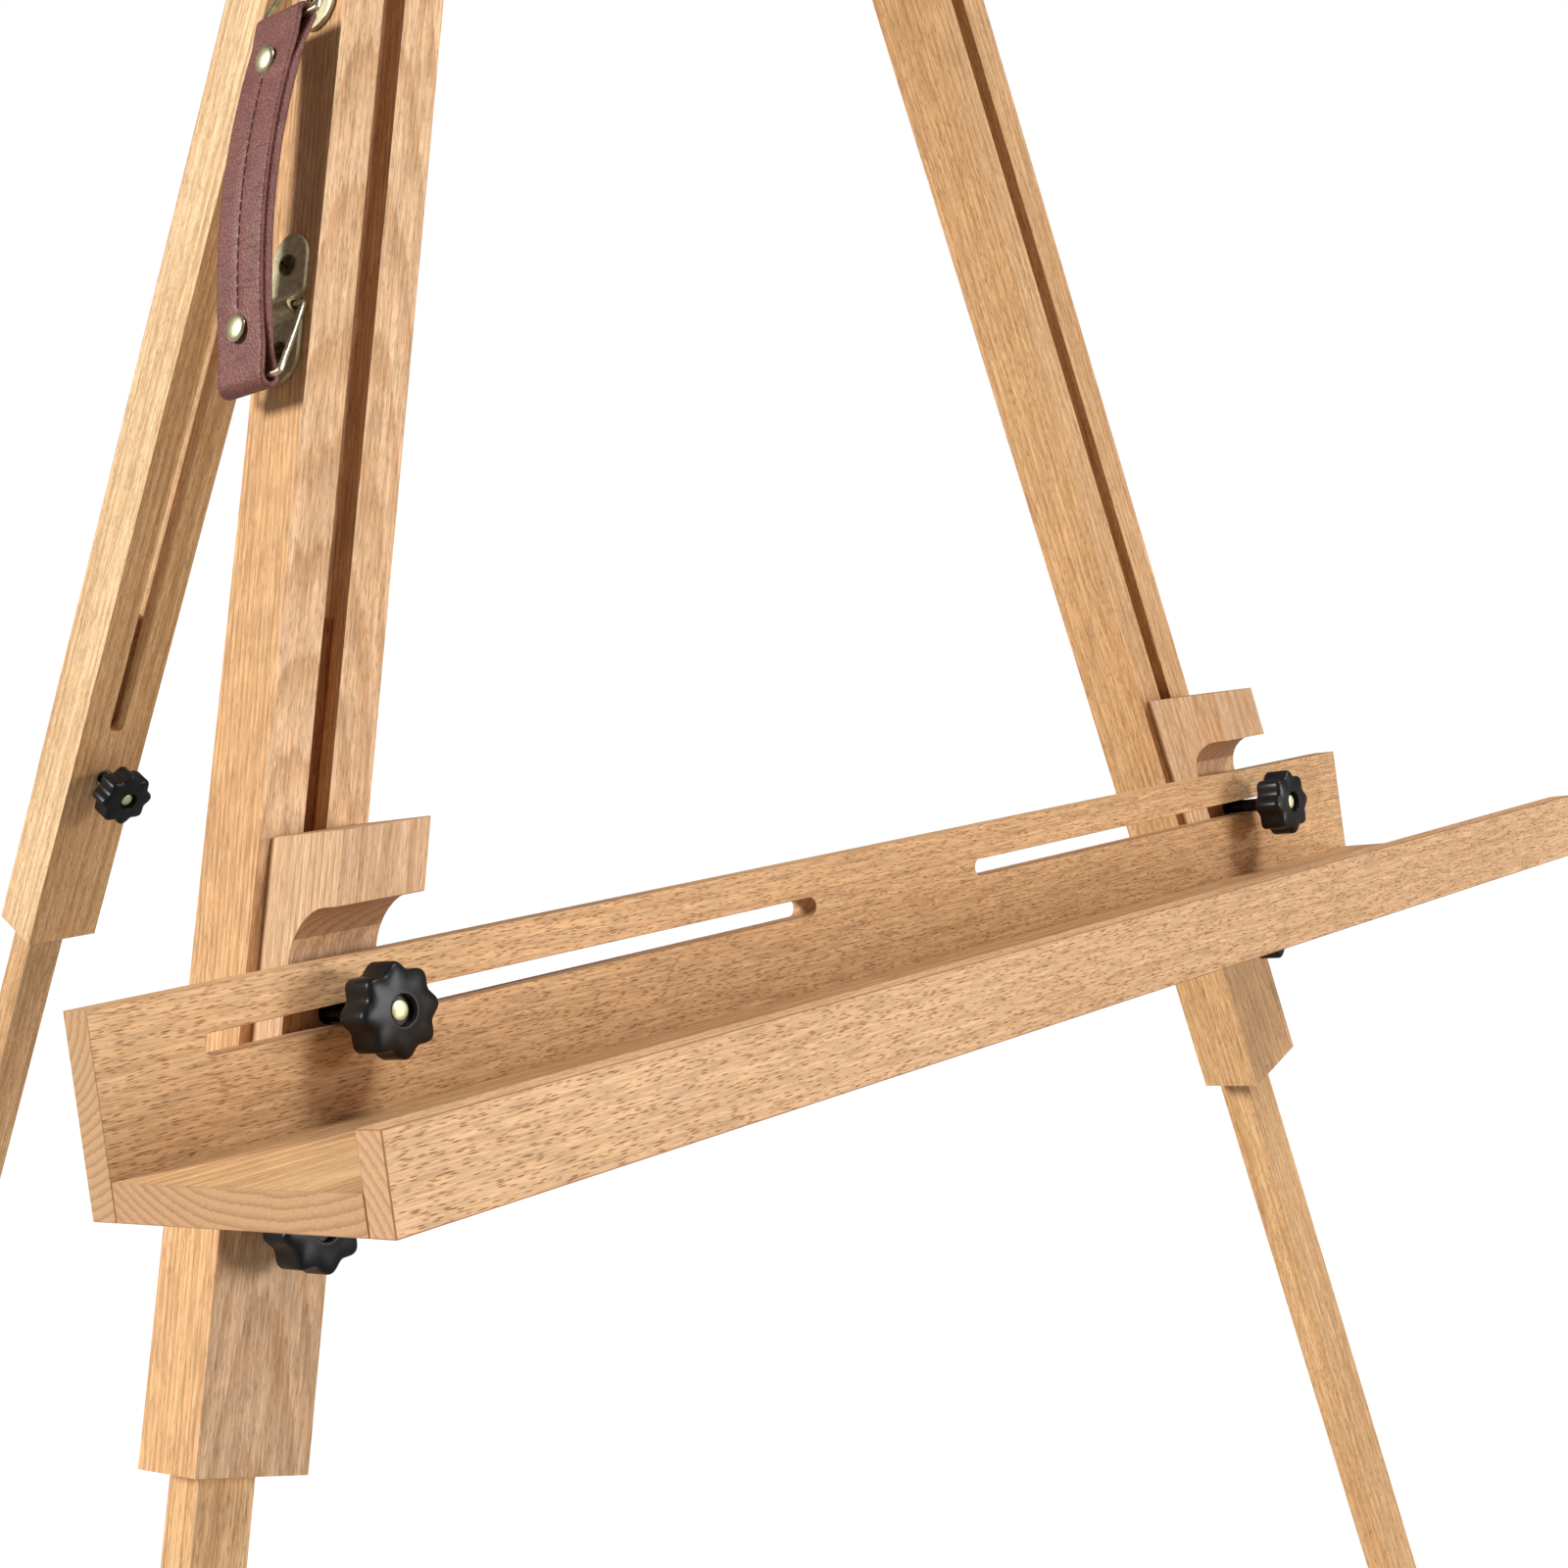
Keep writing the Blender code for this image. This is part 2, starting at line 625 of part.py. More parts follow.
def make_head(plane):
    """The block that the front legs pivot in front of, the rear leg behind, and the mast through."""
    half = HEAD_WIDTH / 2
    cheek_front = LEG_DEPTH + 2 * GAP
    outline = [
        (cheek_front, CHEEK_BOTTOM_RISE),
        (CHEEK_BACK, CHEEK_BOTTOM_RISE),
        (CHEEK_BACK, SHOULDER_RISE - (CHEEK_BACK - CROWN_BACK)),
        (CROWN_BACK, SHOULDER_RISE),
        (CROWN_BACK, CROWN_TOP_RISE),
        (0, CROWN_TOP_RISE),
        (0, CROWN_BOTTOM_RISE),
        (cheek_front, CROWN_BOTTOM_RISE),
    ]
    head = part(
        "head_block",
        slab(outline, HEAD_WIDTH, OUTLINE_IN_YZ),
        material("beech_head", BEECH, WOOD_ROUGHNESS),
        plane,
    )
    corner = [
        (half - HEAD_CORNER - CUT, -CUT),
        (half + CUT, -CUT),
        (half + CUT, HEAD_CORNER + CUT),
    ]
    for facing in (0, pi):
        wedge = slab(corner, 2 * (CHEEK_BACK + CUT), OUTLINE_IN_XZ)
        wedge.transform(Matrix.Translation((0, 0, CHEEK_BOTTOM_RISE)))
        wedge.transform(Matrix.Rotation(facing, 4, "Z"))
        shape_cutter(head, wedge)
    x = FORK_WIDTH / 2
    fork = block(
        (-x, FORK_WALL_BACK, CHEEK_BOTTOM_RISE - CUT), (x, CHEEK_BACK + CUT, FORK_TOP_RISE)
    )
    shape_cutter(head, fork)
    x = MAST_WIDTH / 2 + GAP
    mortise = block(
        (-x, MAST_FRONT - GAP, CROWN_BOTTOM_RISE - CUT),
        (x, MAST_BACK + GAP, CROWN_TOP_RISE + CUT),
    )
    shape_cutter(head, mortise)
    for side in (-1, 1):
        x = side * PIVOT_X
        hole = rod((x, 0, PIVOT_RISE), (x, CHEEK_BACK + CUT, PIVOT_RISE), PIVOT_HOLE_RADIUS)
        shape_cutter(head, hole)
    pin = rod(
        (-half - CUT, HINGE_DEPTH, HINGE_RISE), (half + CUT, HINGE_DEPTH, HINGE_RISE),
        PIVOT_HOLE_RADIUS,
    )
    shape_cutter(head, pin)
    rise = (CROWN_BOTTOM_RISE + CROWN_TOP_RISE) / 2
    screw = rod((0, MAST_BACK, rise), (0, CROWN_BACK + CUT, rise), BOLT_HOLE_RADIUS)
    shape_cutter(head, screw)
    return head


def make_mast(mast_frame, look):
    """A square bar with a pyramid-cut top. Its frame's origin is at the middle of its lower end."""
    x = MAST_WIDTH / 2
    y = (MAST_BACK - MAST_FRONT) / 2
    mast = part("mast", block((-x, -y, 0), (x, y, MAST_LENGTH)), look, mast_frame)
    work = bmesh.new()
    work.from_mesh(mast.data)
    top = [face for face in work.faces if face.normal.z > 0.5]
    bmesh.ops.inset_individual(work, faces=top, thickness=MAST_TOP_INSET, depth=MAST_TOP_RISE)
    work.to_mesh(mast.data)
    work.free()
    return mast


def make_top_clamp(clamp_frame, look):
    """The upper canvas clamp, a bracket turned over, that slides on the mast."""
    outline = hook_outline(BRACKET_REACH, 0.0, BRACKET_LIP, CLAMP_HEIGHT, CLAMP_BACK)
    turned = [(depth, -rise) for depth, rise in outline][::-1]
    clamp = part("top_clamp", slab(turned, CLAMP_WIDTH, OUTLINE_IN_YZ), look, clamp_frame)
    x = MAST_WIDTH / 2 + GAP
    mortise = block(
        (-x, MAST_FRONT - GAP, -CUT), (x, MAST_BACK + GAP, CLAMP_HEIGHT + CUT)
    )
    shape_cutter(clamp, mortise)
    rise = CLAMP_BOLT_RISE
    hole = rod((0, MAST_BACK, rise), (0, CLAMP_BACK + CUT, rise), BOLT_HOLE_RADIUS)
    shape_cutter(clamp, hole)
    return clamp


# ---- carry handle ----
# The handle's frame is on the leg's outer side face, at its middle. Its x points out of the leg,
# its y points across the leg towards the front, and its z points up the leg.


def handle_plate(name, parent, look, rise):
    """A stamped plate with a raised bridge across its waist, that a wire loop turns in."""
    thin = GAP + PLATE_THICKNESS
    half = PLATE_LENGTH / 2
    outer = BRIDGE_RADIUS
    inner = BRIDGE_RADIUS - PLATE_THICKNESS + OVERLAP
    foot_of_bridge = 2 * outer
    outline = (
        [(GAP, -half), (thin, -half), (thin, -foot_of_bridge)]
        + arc((WIRE_STANDOFF, 0), outer, -pi / 2, pi / 2, 8)
        + [(thin, foot_of_bridge), (thin, half), (GAP, half), (GAP, inner)]
        + arc((WIRE_STANDOFF, 0), inner, pi / 2, -pi / 2, 8)
        + [(GAP, -inner)]
    )
    plate = part(name, slab(outline, PLATE_WIDTH, OUTLINE_IN_XZ), look, parent)
    plate.data.transform(Matrix.Translation((0, 0, rise)))
    reach = WIRE_STANDOFF + BRIDGE_RADIUS + CUT
    rounded = slab(round_ended(PLATE_LENGTH, PLATE_WIDTH), 2 * reach, OUTLINE_IN_YZ)
    rounded.transform(Matrix.Translation((0, 0, rise)))
    shape_cutter(plate, rounded, "INTERSECT")
    for way in (-1, 1):
        y = way * (PLATE_WIDTH / 2 - WAIST_DEPTH + WAIST_RADIUS)
        shape_cutter(plate, rod((-CUT, y, rise), (reach, y, rise), WAIST_RADIUS, sides=24))
        z = rise + way * SCREW_SPACING
        shape_cutter(plate, rod((-CUT, 0, z), (2 * CUT, 0, z), PLATE_HOLE_RADIUS, sides=12))
    return plate


def handle_screw(name, parent, look, rise):
    """A round-headed wood screw."""
    seat = GAP + PLATE_THICKNESS + GAP
    shank = rod((seat + OVERLAP, 0, rise), (-SCREW_LENGTH, 0, rise), SCREW_SHANK_RADIUS,
                SCREW_TIP_RADIUS, 12)
    screw = part(name, shank, look, parent)
    head = rod((seat, 0, rise), (seat + SCREW_HEAD_HEIGHT, 0, rise), SCREW_HEAD_RADIUS,
               SCREW_HEAD_TOP_RADIUS, 16)
    shape_cutter(screw, head, "UNION")
    return screw


def handle_loop(name, parent, look):
    """A closed wire loop that hangs from a plate's bridge, at its origin, to the strap's end."""
    out = STRAP_STANDOFF - WIRE_STANDOFF
    length = sqrt(out**2 + LOOP_DROP**2)
    corners = [(LOOP_NARROW, 0), (-LOOP_NARROW, 0), (-LOOP_WIDE, length), (LOOP_WIDE, length)]
    points = []
    for corner_y, corner_d in corners:
        inward = (-1 if corner_y > 0 else 1, 1 if corner_d == 0 else -1)
        center = (corner_y + inward[0] * LOOP_BEND, corner_d + inward[1] * LOOP_BEND)
        outward = atan2(-inward[1], -inward[0])
        points += arc(center, LOOP_BEND, outward + pi / 4, outward - pi / 4, 2)
    ring = [(out / length * d, y, -LOOP_DROP / length * d) for y, d in points]
    return part(name, wire(ring, WIRE_RADIUS), look, parent)


def strap_middle(z):
    """How far out the strap's middle line stands, at a height z from the handle's middle."""
    return STRAP_STANDOFF + STRAP_BULGE * cos(pi / 2 * min(abs(z) / STRAP_END, 1.0)) ** 0.9


def make_strap(parent, look):
    """A thick leather strap that bows away from the leg, with an eye at each end for a loop."""
    eye_radius = EYE_HEIGHT / 2 + EYE_WALL
    grip = STRAP_END - EYE_INNER - STRAP_SHOULDER
    steps = 12
    heights = [grip * (2 * i / steps - 1) for i in range(steps + 1)]
    half = STRAP_THICKNESS / 2
    outer = [(strap_middle(z) + half, z) for z in heights]
    inner = [(strap_middle(z) - half, z) for z in reversed(heights)]
    tip = STRAP_END + EYE_OUTER + EYE_WALL - eye_radius
    top = arc((STRAP_STANDOFF, tip), eye_radius, 0, pi, 6)
    bottom = arc((STRAP_STANDOFF, -tip), eye_radius, pi, 2 * pi, 6)
    outline = bottom + outer + top + inner
    strap = part("handle_strap", slab(outline, STRAP_WIDTH, OUTLINE_IN_XZ), look, parent)
    for way in (-1, 1):
        middle = way * (STRAP_END + (EYE_OUTER - EYE_INNER) / 2)
        eye = slab(
            round_ended(EYE_INNER + EYE_OUTER, EYE_HEIGHT, (STRAP_STANDOFF, middle)),
            STRAP_WIDTH + 2 * CUT,
            OUTLINE_IN_XZ,
        )
        shape_cutter(strap, eye)
        z = way * RIVET_FROM_MIDDLE
        inside = strap_middle(z) - STRAP_THICKNESS
        outside = strap_middle(z) + STRAP_THICKNESS
        shape_cutter(strap, rod((inside, 0, z), (outside, 0, z), RIVET_HOLE_RADIUS, sides=12))
    return strap


def rivet(name, parent, look, z):
    """A domed rivet through the strap, with a small back cap."""
    reach = STRAP_THICKNESS / 2 + 3 * GAP
    front = strap_middle(z) + reach
    back = strap_middle(z) - reach
    shank = rod((back - OVERLAP, 0, z), (front + OVERLAP, 0, z), RIVET_SHANK_RADIUS, sides=12)
    body = part(name, shank, look, parent)
    dome = rod((front, 0, z), (front + RIVET_HEIGHT, 0, z), RIVET_RADIUS, RIVET_TOP_RADIUS, 16)
    shape_cutter(body, dome, "UNION")
    cap = rod((back, 0, z), (back - RIVET_BACK_HEIGHT, 0, z), RIVET_BACK_RADIUS,
              RIVET_BACK_TOP_RADIUS, 16)
    shape_cutter(body, cap, "UNION")
    return body


# ---- the easel ----

PARTS, HIDDEN = clear_scene()

PIVOT_X = LEG_SPREAD - PIVOT_RISE * tan(SPLAY)
PIVOT_TO_TRAY = PIVOT_RISE / cos(SPLAY)  # down the leg, to the level of the tray's underside
FRONT_END = -(PIVOT_TO_TRAY + FRONT_LEG_BELOW_TRAY)
BOLT_Z = -(PIVOT_RISE - BOLT_RISE) / cos(SPLAY)
BOLT_X = LEG_SPREAD - BOLT_RISE * tan(SPLAY)
TRAY_BACK_Y = -(GAP + BRACKET_PLATE + GAP)
FLOOR_TO_TRAY = (FRONT_LEG_BELOW_TRAY + FRONT_EXTENSION + FOOT_STAND) * cos(SPLAY) * cos(LEAN)
HINGE_HEIGHT = FLOOR_TO_TRAY + HINGE_RISE * cos(LEAN) - HINGE_DEPTH * sin(LEAN)
REAR_REACH = HINGE_HEIGHT / cos(REAR_OPENING - LEAN)  # from the hinge to the floor
REAR_EXTENSION = REAR_REACH - FOOT_STAND - REAR_LEG_LENGTH

# every sub-part gets its own material, in one of these colours
BEECH = (0.56, 0.33, 0.16)
BLACK_PLASTIC = (0.012, 0.012, 0.013)
BLACK_STEEL = (0.02, 0.02, 0.022)
OLD_BRASS = (0.45, 0.37, 0.20)
ZINC = (0.62, 0.62, 0.60)
RUBBER = (0.03, 0.03, 0.03)
LEATHER = (0.14, 0.035, 0.03)
WOOD_ROUGHNESS = 0.5
PLASTIC_ROUGHNESS = 0.35
METAL_ROUGHNESS = 0.35
RUBBER_ROUGHNESS = 0.8
LEATHER_ROUGHNESS = 0.5


def wood(name):
    return material(name, BEECH, WOOD_ROUGHNESS)


def plastic(name):
    return material(name, BLACK_PLASTIC, PLASTIC_ROUGHNESS)


def metal(name, color):
    return material(name, color, METAL_ROUGHNESS, 1.0)


def make_leg(side_name, leg_frame, end, front, extension, knob_above_end, flat_top):
    """An upper leg with the lower leg, foot, clamp knob and insert that belong to it."""
    name = "rear_leg" if flat_top else f"front_leg_{side_name}"
    leg = upper_leg(name, leg_frame, wood(f"beech_{name}"), end, front, flat_top)
    knob_z = end + knob_above_end
    cut_leg_slot(leg, front, knob_z + SLOT_ABOVE_KNOB, -SLOT_TO_TOP)
    insert_hole = rod((0, front - CUT, knob_z), (0, front + WEB + CUT, knob_z), INSERT_RADIUS + GAP)
    shape_cutter(leg, insert_hole)
    insert(f"leg_insert_{side_name}", leg_frame, metal(f"brass_insert_{side_name}", OLD_BRASS),
           front, knob_z)

    low = end - extension
    lower_leg(f"lower_leg_{side_name}", leg_frame, wood(f"beech_lower_leg_{side_name}"), low, front)
    foot(f"foot_{side_name}", leg_frame,
         material(f"rubber_{side_name}", RUBBER, RUBBER_ROUGHNESS), low, front)

    axis = frame(f"leg_knob_axis_{side_name}", leg_frame, (0, 0, knob_z))
    clamp_knob(f"leg_knob_{side_name}", axis, plastic(f"black_leg_knob_{side_name}"), front)
    clamp_bolt(f"leg_knob_bolt_{side_name}", axis, metal(f"steel_leg_bolt_{side_name}", BLACK_STEEL),
               front, front + WEB - GAP)


def make_tray_fixing(side_name, side, leg_frame):
    """A bracket on a front leg, and the tray bolt and knob that clamp it and the tray."""
    bracket(f"bracket_{side_name}", PLANE, leg_frame, wood(f"beech_bracket_{side_name}"), side)
    axis = frame(f"tray_bolt_axis_{side_name}", leg_frame, (0, 0, BOLT_Z))
    tray_face = TRAY_BACK_Y - TRAY_BACK_THICKNESS
    headed_bolt(
        f"tray_bolt_{side_name}", axis, metal(f"steel_tray_bolt_{side_name}", BLACK_STEEL),
        SLOT_LIP + GAP, tray_face - KNOB_STANDOFF - KNOB_SOCKET_DEPTH + GAP,
        BOLT_RADIUS, BOLT_HEAD_RADIUS, WEB - SLOT_LIP - 3 * GAP,
    )
    clamp_knob(f"tray_knob_{side_name}", axis, plastic(f"black_tray_knob_{side_name}"), tray_face)


def make_pivot(bolt_name, nut_name, axis, start, end):
    """A bolt along y through the head, and its domed nut. start and end are on the wood."""
    headed_bolt(
        bolt_name, axis, metal(f"steel_{bolt_name}", ZINC), start - GAP, end + PIVOT_BOLT_END,
        PIVOT_BOLT_RADIUS, PIVOT_HEAD_RADIUS, PIVOT_HEAD_DEPTH,
    )
    nut(nut_name, axis, metal(f"steel_{nut_name}", ZINC), end + GAP)


def make_handle(handle_frame):
    """The strap with its rivets, and a plate, two screws and a loop at each of its ends."""
    make_strap(handle_frame, material("leather", LEATHER, LEATHER_ROUGHNESS))
    leg = bpy.data.objects["front_leg_left"]
    side_face = -LEG_WIDTH / 2
    for place, way in (("lower", -1), ("upper", 1)):
        rivet(f"handle_rivet_{place}", handle_frame, metal(f"brass_rivet_{place}", OLD_BRASS),
              way * RIVET_FROM_MIDDLE)
        rise = way * STRAP_END + LOOP_DROP
        handle_plate(f"handle_plate_{place}", handle_frame,
                     metal(f"brass_plate_{place}", OLD_BRASS), rise)
        axis = frame(f"loop_axis_{place}", handle_frame, (WIRE_STANDOFF, 0, rise))
        handle_loop(f"handle_loop_{place}", axis, metal(f"brass_loop_{place}", OLD_BRASS))
        for end_name, offset in (("a", -SCREW_SPACING), ("b", SCREW_SPACING)):
            name = f"handle_screw_{place}_{end_name}"
            handle_screw(name, handle_frame, metal(f"brass_{name}", OLD_BRASS), rise + offset)
            z = rise + offset - HANDLE_BELOW_PIVOT
            pilot = rod((side_face - CUT, HANDLE_DEPTH, z),
                        (side_face + SCREW_LENGTH + 2 * GAP, HANDLE_DEPTH, z),
                        PLATE_HOLE_RADIUS, sides=12)
            shape_cutter(leg, pilot)


FLOOR = frame("floor")
PLANE = frame(
    "easel_plane", None, (0, STANCE_SHIFT, FLOOR_TO_TRAY), Matrix.Rotation(-LEAN, 4, "X")
)
make_head(PLANE)

for SIDE_NAME, SIDE in (("left", -1), ("right", 1)):
    LEG_FRAME = frame(
        f"leg_pivot_{SIDE_NAME}", PLANE, (SIDE * PIVOT_X, 0, PIVOT_RISE),
        Matrix.Rotation(-SIDE * SPLAY, 4, "Y"),
    )
    make_leg(SIDE_NAME, LEG_FRAME, FRONT_END, 0, FRONT_EXTENSION, FRONT_KNOB_ABOVE_END, False)
    make_tray_fixing(SIDE_NAME, SIDE, LEG_FRAME)
    PIVOT_FRAME = frame(f"pivot_{SIDE_NAME}", PLANE, (SIDE * PIVOT_X, 0, PIVOT_RISE))
    make_pivot(f"pivot_bolt_{SIDE_NAME}", f"pivot_nut_{SIDE_NAME}", PIVOT_FRAME, 0, CHEEK_BACK)

# the tray hangs level from the left tray bolt
make_tray(frame("tray_axis", PLANE, (-BOLT_X, 0, BOLT_RISE)))

# the rear leg's hinge bolt runs along x: its own frame is turned so that its y is the easel's x
HINGE = frame("rear_hinge", PLANE, (0, HINGE_DEPTH, HINGE_RISE))
REAR = frame("rear_leg_axis", HINGE, (0, 0, 0), Matrix.Rotation(REAR_OPENING, 4, "X"))
make_leg("rear", REAR, -REAR_LEG_LENGTH, -LEG_DEPTH / 2, REAR_EXTENSION, REAR_KNOB_ABOVE_END, True)
SIDEWAYS = frame("hinge_bolt_axis", HINGE, (0, 0, 0), Matrix.Rotation(-pi / 2, 4, "Z"))
make_pivot("rear_hinge_bolt", "rear_hinge_nut", SIDEWAYS, -HEAD_WIDTH / 2, HEAD_WIDTH / 2)

# mast and upper clamp, each with a knob behind it that presses its bolt on the mast
MAST_FRAME = frame("mast_axis", PLANE, (0, (MAST_FRONT + MAST_BACK) / 2, MAST_BOTTOM_RISE))
make_mast(MAST_FRAME, wood("beech_mast"))
CLAMP_FRAME = frame("clamp_axis", PLANE, (0, 0, CLAMP_RISE))
make_top_clamp(CLAMP_FRAME, wood("beech_clamp"))
for NAME, OWNER, RISE, FACE in (
    ("mast", PLANE, (CROWN_BOTTOM_RISE + CROWN_TOP_RISE) / 2, CROWN_BACK),
    ("clamp", CLAMP_FRAME, CLAMP_BOLT_RISE, CLAMP_BACK),
):
    AXIS = frame(f"{NAME}_knob_axis", OWNER, (0, 0, RISE), Matrix.Rotation(pi, 4, "Z"))
    clamp_knob(f"{NAME}_knob", AXIS, plastic(f"black_{NAME}_knob"), -FACE)
    clamp_bolt(f"{NAME}_knob_bolt", AXIS, metal(f"steel_{NAME}_bolt", BLACK_STEEL),
               -FACE, -(MAST_BACK + GAP))

make_handle(frame(
    "handle_axis", bpy.data.objects["leg_pivot_left"],
    (-LEG_WIDTH / 2, HANDLE_DEPTH, -HANDLE_BELOW_PIVOT), Matrix.Rotation(pi, 4, "Z"),
))
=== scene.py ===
"""The looks of a beech field easel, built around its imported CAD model.

Boards, nuts, feet and wire loops are copies of their CAD solids, with eased edges or rounder
wire. Knobs, bolts, screws, rivets, plates and the leather strap are made here. The brass inserts
in the legs stay as they are in the CAD, with a better material.
"""

import json
from math import cos, pi, radians, sin, sqrt

import bmesh
import bpy
from mathutils import Matrix, Vector


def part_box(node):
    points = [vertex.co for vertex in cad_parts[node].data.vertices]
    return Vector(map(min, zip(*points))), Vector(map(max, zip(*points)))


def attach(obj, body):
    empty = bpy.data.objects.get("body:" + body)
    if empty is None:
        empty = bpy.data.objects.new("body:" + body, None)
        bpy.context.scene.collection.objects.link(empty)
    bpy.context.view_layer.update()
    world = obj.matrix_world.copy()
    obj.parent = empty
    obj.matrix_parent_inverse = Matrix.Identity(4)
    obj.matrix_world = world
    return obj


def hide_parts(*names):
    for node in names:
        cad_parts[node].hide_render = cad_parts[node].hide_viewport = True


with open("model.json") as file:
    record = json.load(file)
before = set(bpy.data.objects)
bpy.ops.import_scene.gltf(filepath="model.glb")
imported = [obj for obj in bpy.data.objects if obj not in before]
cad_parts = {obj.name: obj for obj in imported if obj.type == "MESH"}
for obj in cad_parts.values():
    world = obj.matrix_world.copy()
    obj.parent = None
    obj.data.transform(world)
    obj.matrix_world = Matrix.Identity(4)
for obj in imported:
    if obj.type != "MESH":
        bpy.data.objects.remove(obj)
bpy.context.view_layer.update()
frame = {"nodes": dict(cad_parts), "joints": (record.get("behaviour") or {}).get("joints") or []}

# ---- where things are, from the frame's joints ----

JOINTS = {joint["name"]: joint for joint in frame["joints"]}


def joint_axis(name):
    return Vector(JOINTS[name]["axis"]).normalized()


def joint_place(name):
    return Vector(JOINTS[name]["pos_m"])


def axes_at(place, depth, up):
    """A frame at a place, with its y along depth and its z along up."""
    z = up.normalized()
    x = depth.cross(z).normalized()
    y = z.cross(x)
    turn = Matrix((x, y, z)).transposed().to_4x4()
    return Matrix.Translation(place) @ turn


def axes_along(place, axis):
    """A frame at a place, with its y exactly along axis and its z as upright as it can be."""
    x = axis.cross(Vector((0, 0, 1)))
    if x.length < 0.1:
        x = Vector((1, 0, 0))
    return axes_at(place, axis.normalized(), x.normalized().cross(axis.normalized()))


ACROSS = Vector((1, 0, 0))
BACKWARD = joint_axis("mast_knob_turn")
PLANE_UP = joint_axis("mast_slide")
LEG_UP = {
    "left": joint_axis("bracket_slide_left"),
    "right": joint_axis("bracket_slide_right"),
    "rear": -joint_axis("lower_leg_slide_rear"),
}
LEG_BACKWARD = {
    "left": BACKWARD,
    "right": BACKWARD,
    "rear": -joint_axis("leg_knob_turn_rear"),
}


def box_middle(node):
    low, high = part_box(node)
    return (low + high) / 2


# ---- camera, lights and floor ----

# the colour sockets of a Mix node, which has a set for each kind of data
MIX_A, MIX_B, MIX_RESULT = 6, 7, 2

WHITE = (1.0, 1.0, 1.0, 1.0)
ROOM_LIGHT = 0.17
FLOOR_REACH = 40.0
FLOOR_SHOWN = (0.97, 0.97, 0.97, 1.0)
FLOOR_THROWN = (0.40, 0.40, 0.40, 1.0)
CAMERA_PLACE = Vector((-0.7025, -0.90968, 0.80932))
CAMERA_AZIMUTH = radians(-49.735)
CAMERA_ELEVATION = radians(8.164)
SENSOR = 36.0
FOCAL_LENGTH = 54.88
NEAREST_SEEN = 0.01


def make_camera():
    camera = bpy.data.objects.new("camera", bpy.data.cameras.new("camera"))
    bpy.context.scene.collection.objects.link(camera)
    level = cos(CAMERA_ELEVATION)
    back = Vector(
        (sin(CAMERA_AZIMUTH) * level, -cos(CAMERA_AZIMUTH) * level, sin(CAMERA_ELEVATION))
    )
    camera.location = CAMERA_PLACE
    camera.rotation_mode = "QUATERNION"
    camera.rotation_quaternion = back.to_track_quat("Z", "Y")
    camera.data.sensor_width = SENSOR
    camera.data.lens = FOCAL_LENGTH
    camera.data.clip_start = NEAREST_SEEN
    bpy.context.scene.camera = camera


def make_sun(name, toward, strength, softness, color):
    """A soft distant light. toward points from the easel to the light."""
    light = bpy.data.lights.new(name, "SUN")
    light.energy = strength
    light.angle = radians(softness)
    light.color = color
    lamp = bpy.data.objects.new(name, light)
    lamp.rotation_mode = "QUATERNION"
    lamp.rotation_quaternion = Vector(toward).to_track_quat("Z", "Y")
    bpy.context.scene.collection.objects.link(lamp)


def make_room():
    """A dim room all round, which the camera sees as a white backdrop."""
    world = bpy.data.worlds.new("studio")
    world.use_nodes = True
    nodes, links = world.node_tree.nodes, world.node_tree.links
    room = nodes["Background"]
    room.inputs["Color"].default_value = WHITE
    room.inputs["Strength"].default_value = ROOM_LIGHT
    backdrop = nodes.new("ShaderNodeBackground")
    backdrop.inputs["Color"].default_value = WHITE
    seen = nodes.new("ShaderNodeLightPath")
    either = nodes.new("ShaderNodeMixShader")
    links.new(seen.outputs["Is Camera Ray"], either.inputs["Fac"])
    links.new(room.outputs[0], either.inputs[1])
    links.new(backdrop.outputs[0], either.inputs[2])
    links.new(either.outputs[0], nodes["World Output"].inputs["Surface"])
    bpy.context.scene.world = world


def make_floor():
    """A pale floor. It looks nearly white, and throws back less light than it shows."""
    mesh = bpy.data.meshes.new("floor")
    signs = ((-1, -1), (1, -1), (1, 1), (-1, 1))
    corners = [(x * FLOOR_REACH, y * FLOOR_REACH, 0) for x, y in signs]
    mesh.from_pydata(corners, [], [(0, 1, 2, 3)])
    floor = bpy.data.objects.new("floor", mesh)
    bpy.context.scene.collection.objects.link(floor)
    look = bpy.data.materials.new("pale_floor")
    look.use_nodes = True
    shader = look.node_tree.nodes["Principled BSDF"]
    shader.inputs["Roughness"].default_value = 0.8
    shader.inputs["Specular IOR Level"].default_value = 0.0
    nodes, links = look.node_tree.nodes, look.node_tree.links
    seen = nodes.new("ShaderNodeLightPath")
    tone = nodes.new("ShaderNodeMix")
    tone.data_type = "RGBA"
    tone.inputs[MIX_A].default_value = FLOOR_THROWN
    tone.inputs[MIX_B].default_value = FLOOR_SHOWN
    links.new(seen.outputs["Is Camera Ray"], tone.inputs["Factor"])
    links.new(tone.outputs[MIX_RESULT], shader.inputs["Base Color"])
    mesh.materials.append(look)


def make_studio():
    make_sun("left_light", (-0.80, 0.42, 0.38), 3.65, 18, (1.0, 0.99, 0.97))
    make_sun("right_light", (0.30, -0.55, 0.78), 1.75, 20, (1.0, 1.0, 1.0))
    make_sun("low_light", (0.55, -1.0, 0.13), 1.72, 20, (1.0, 1.0, 1.0))
    make_room()
    make_floor()
    bpy.context.scene.view_settings.view_transform = "Standard"


# ---- material graphs ----


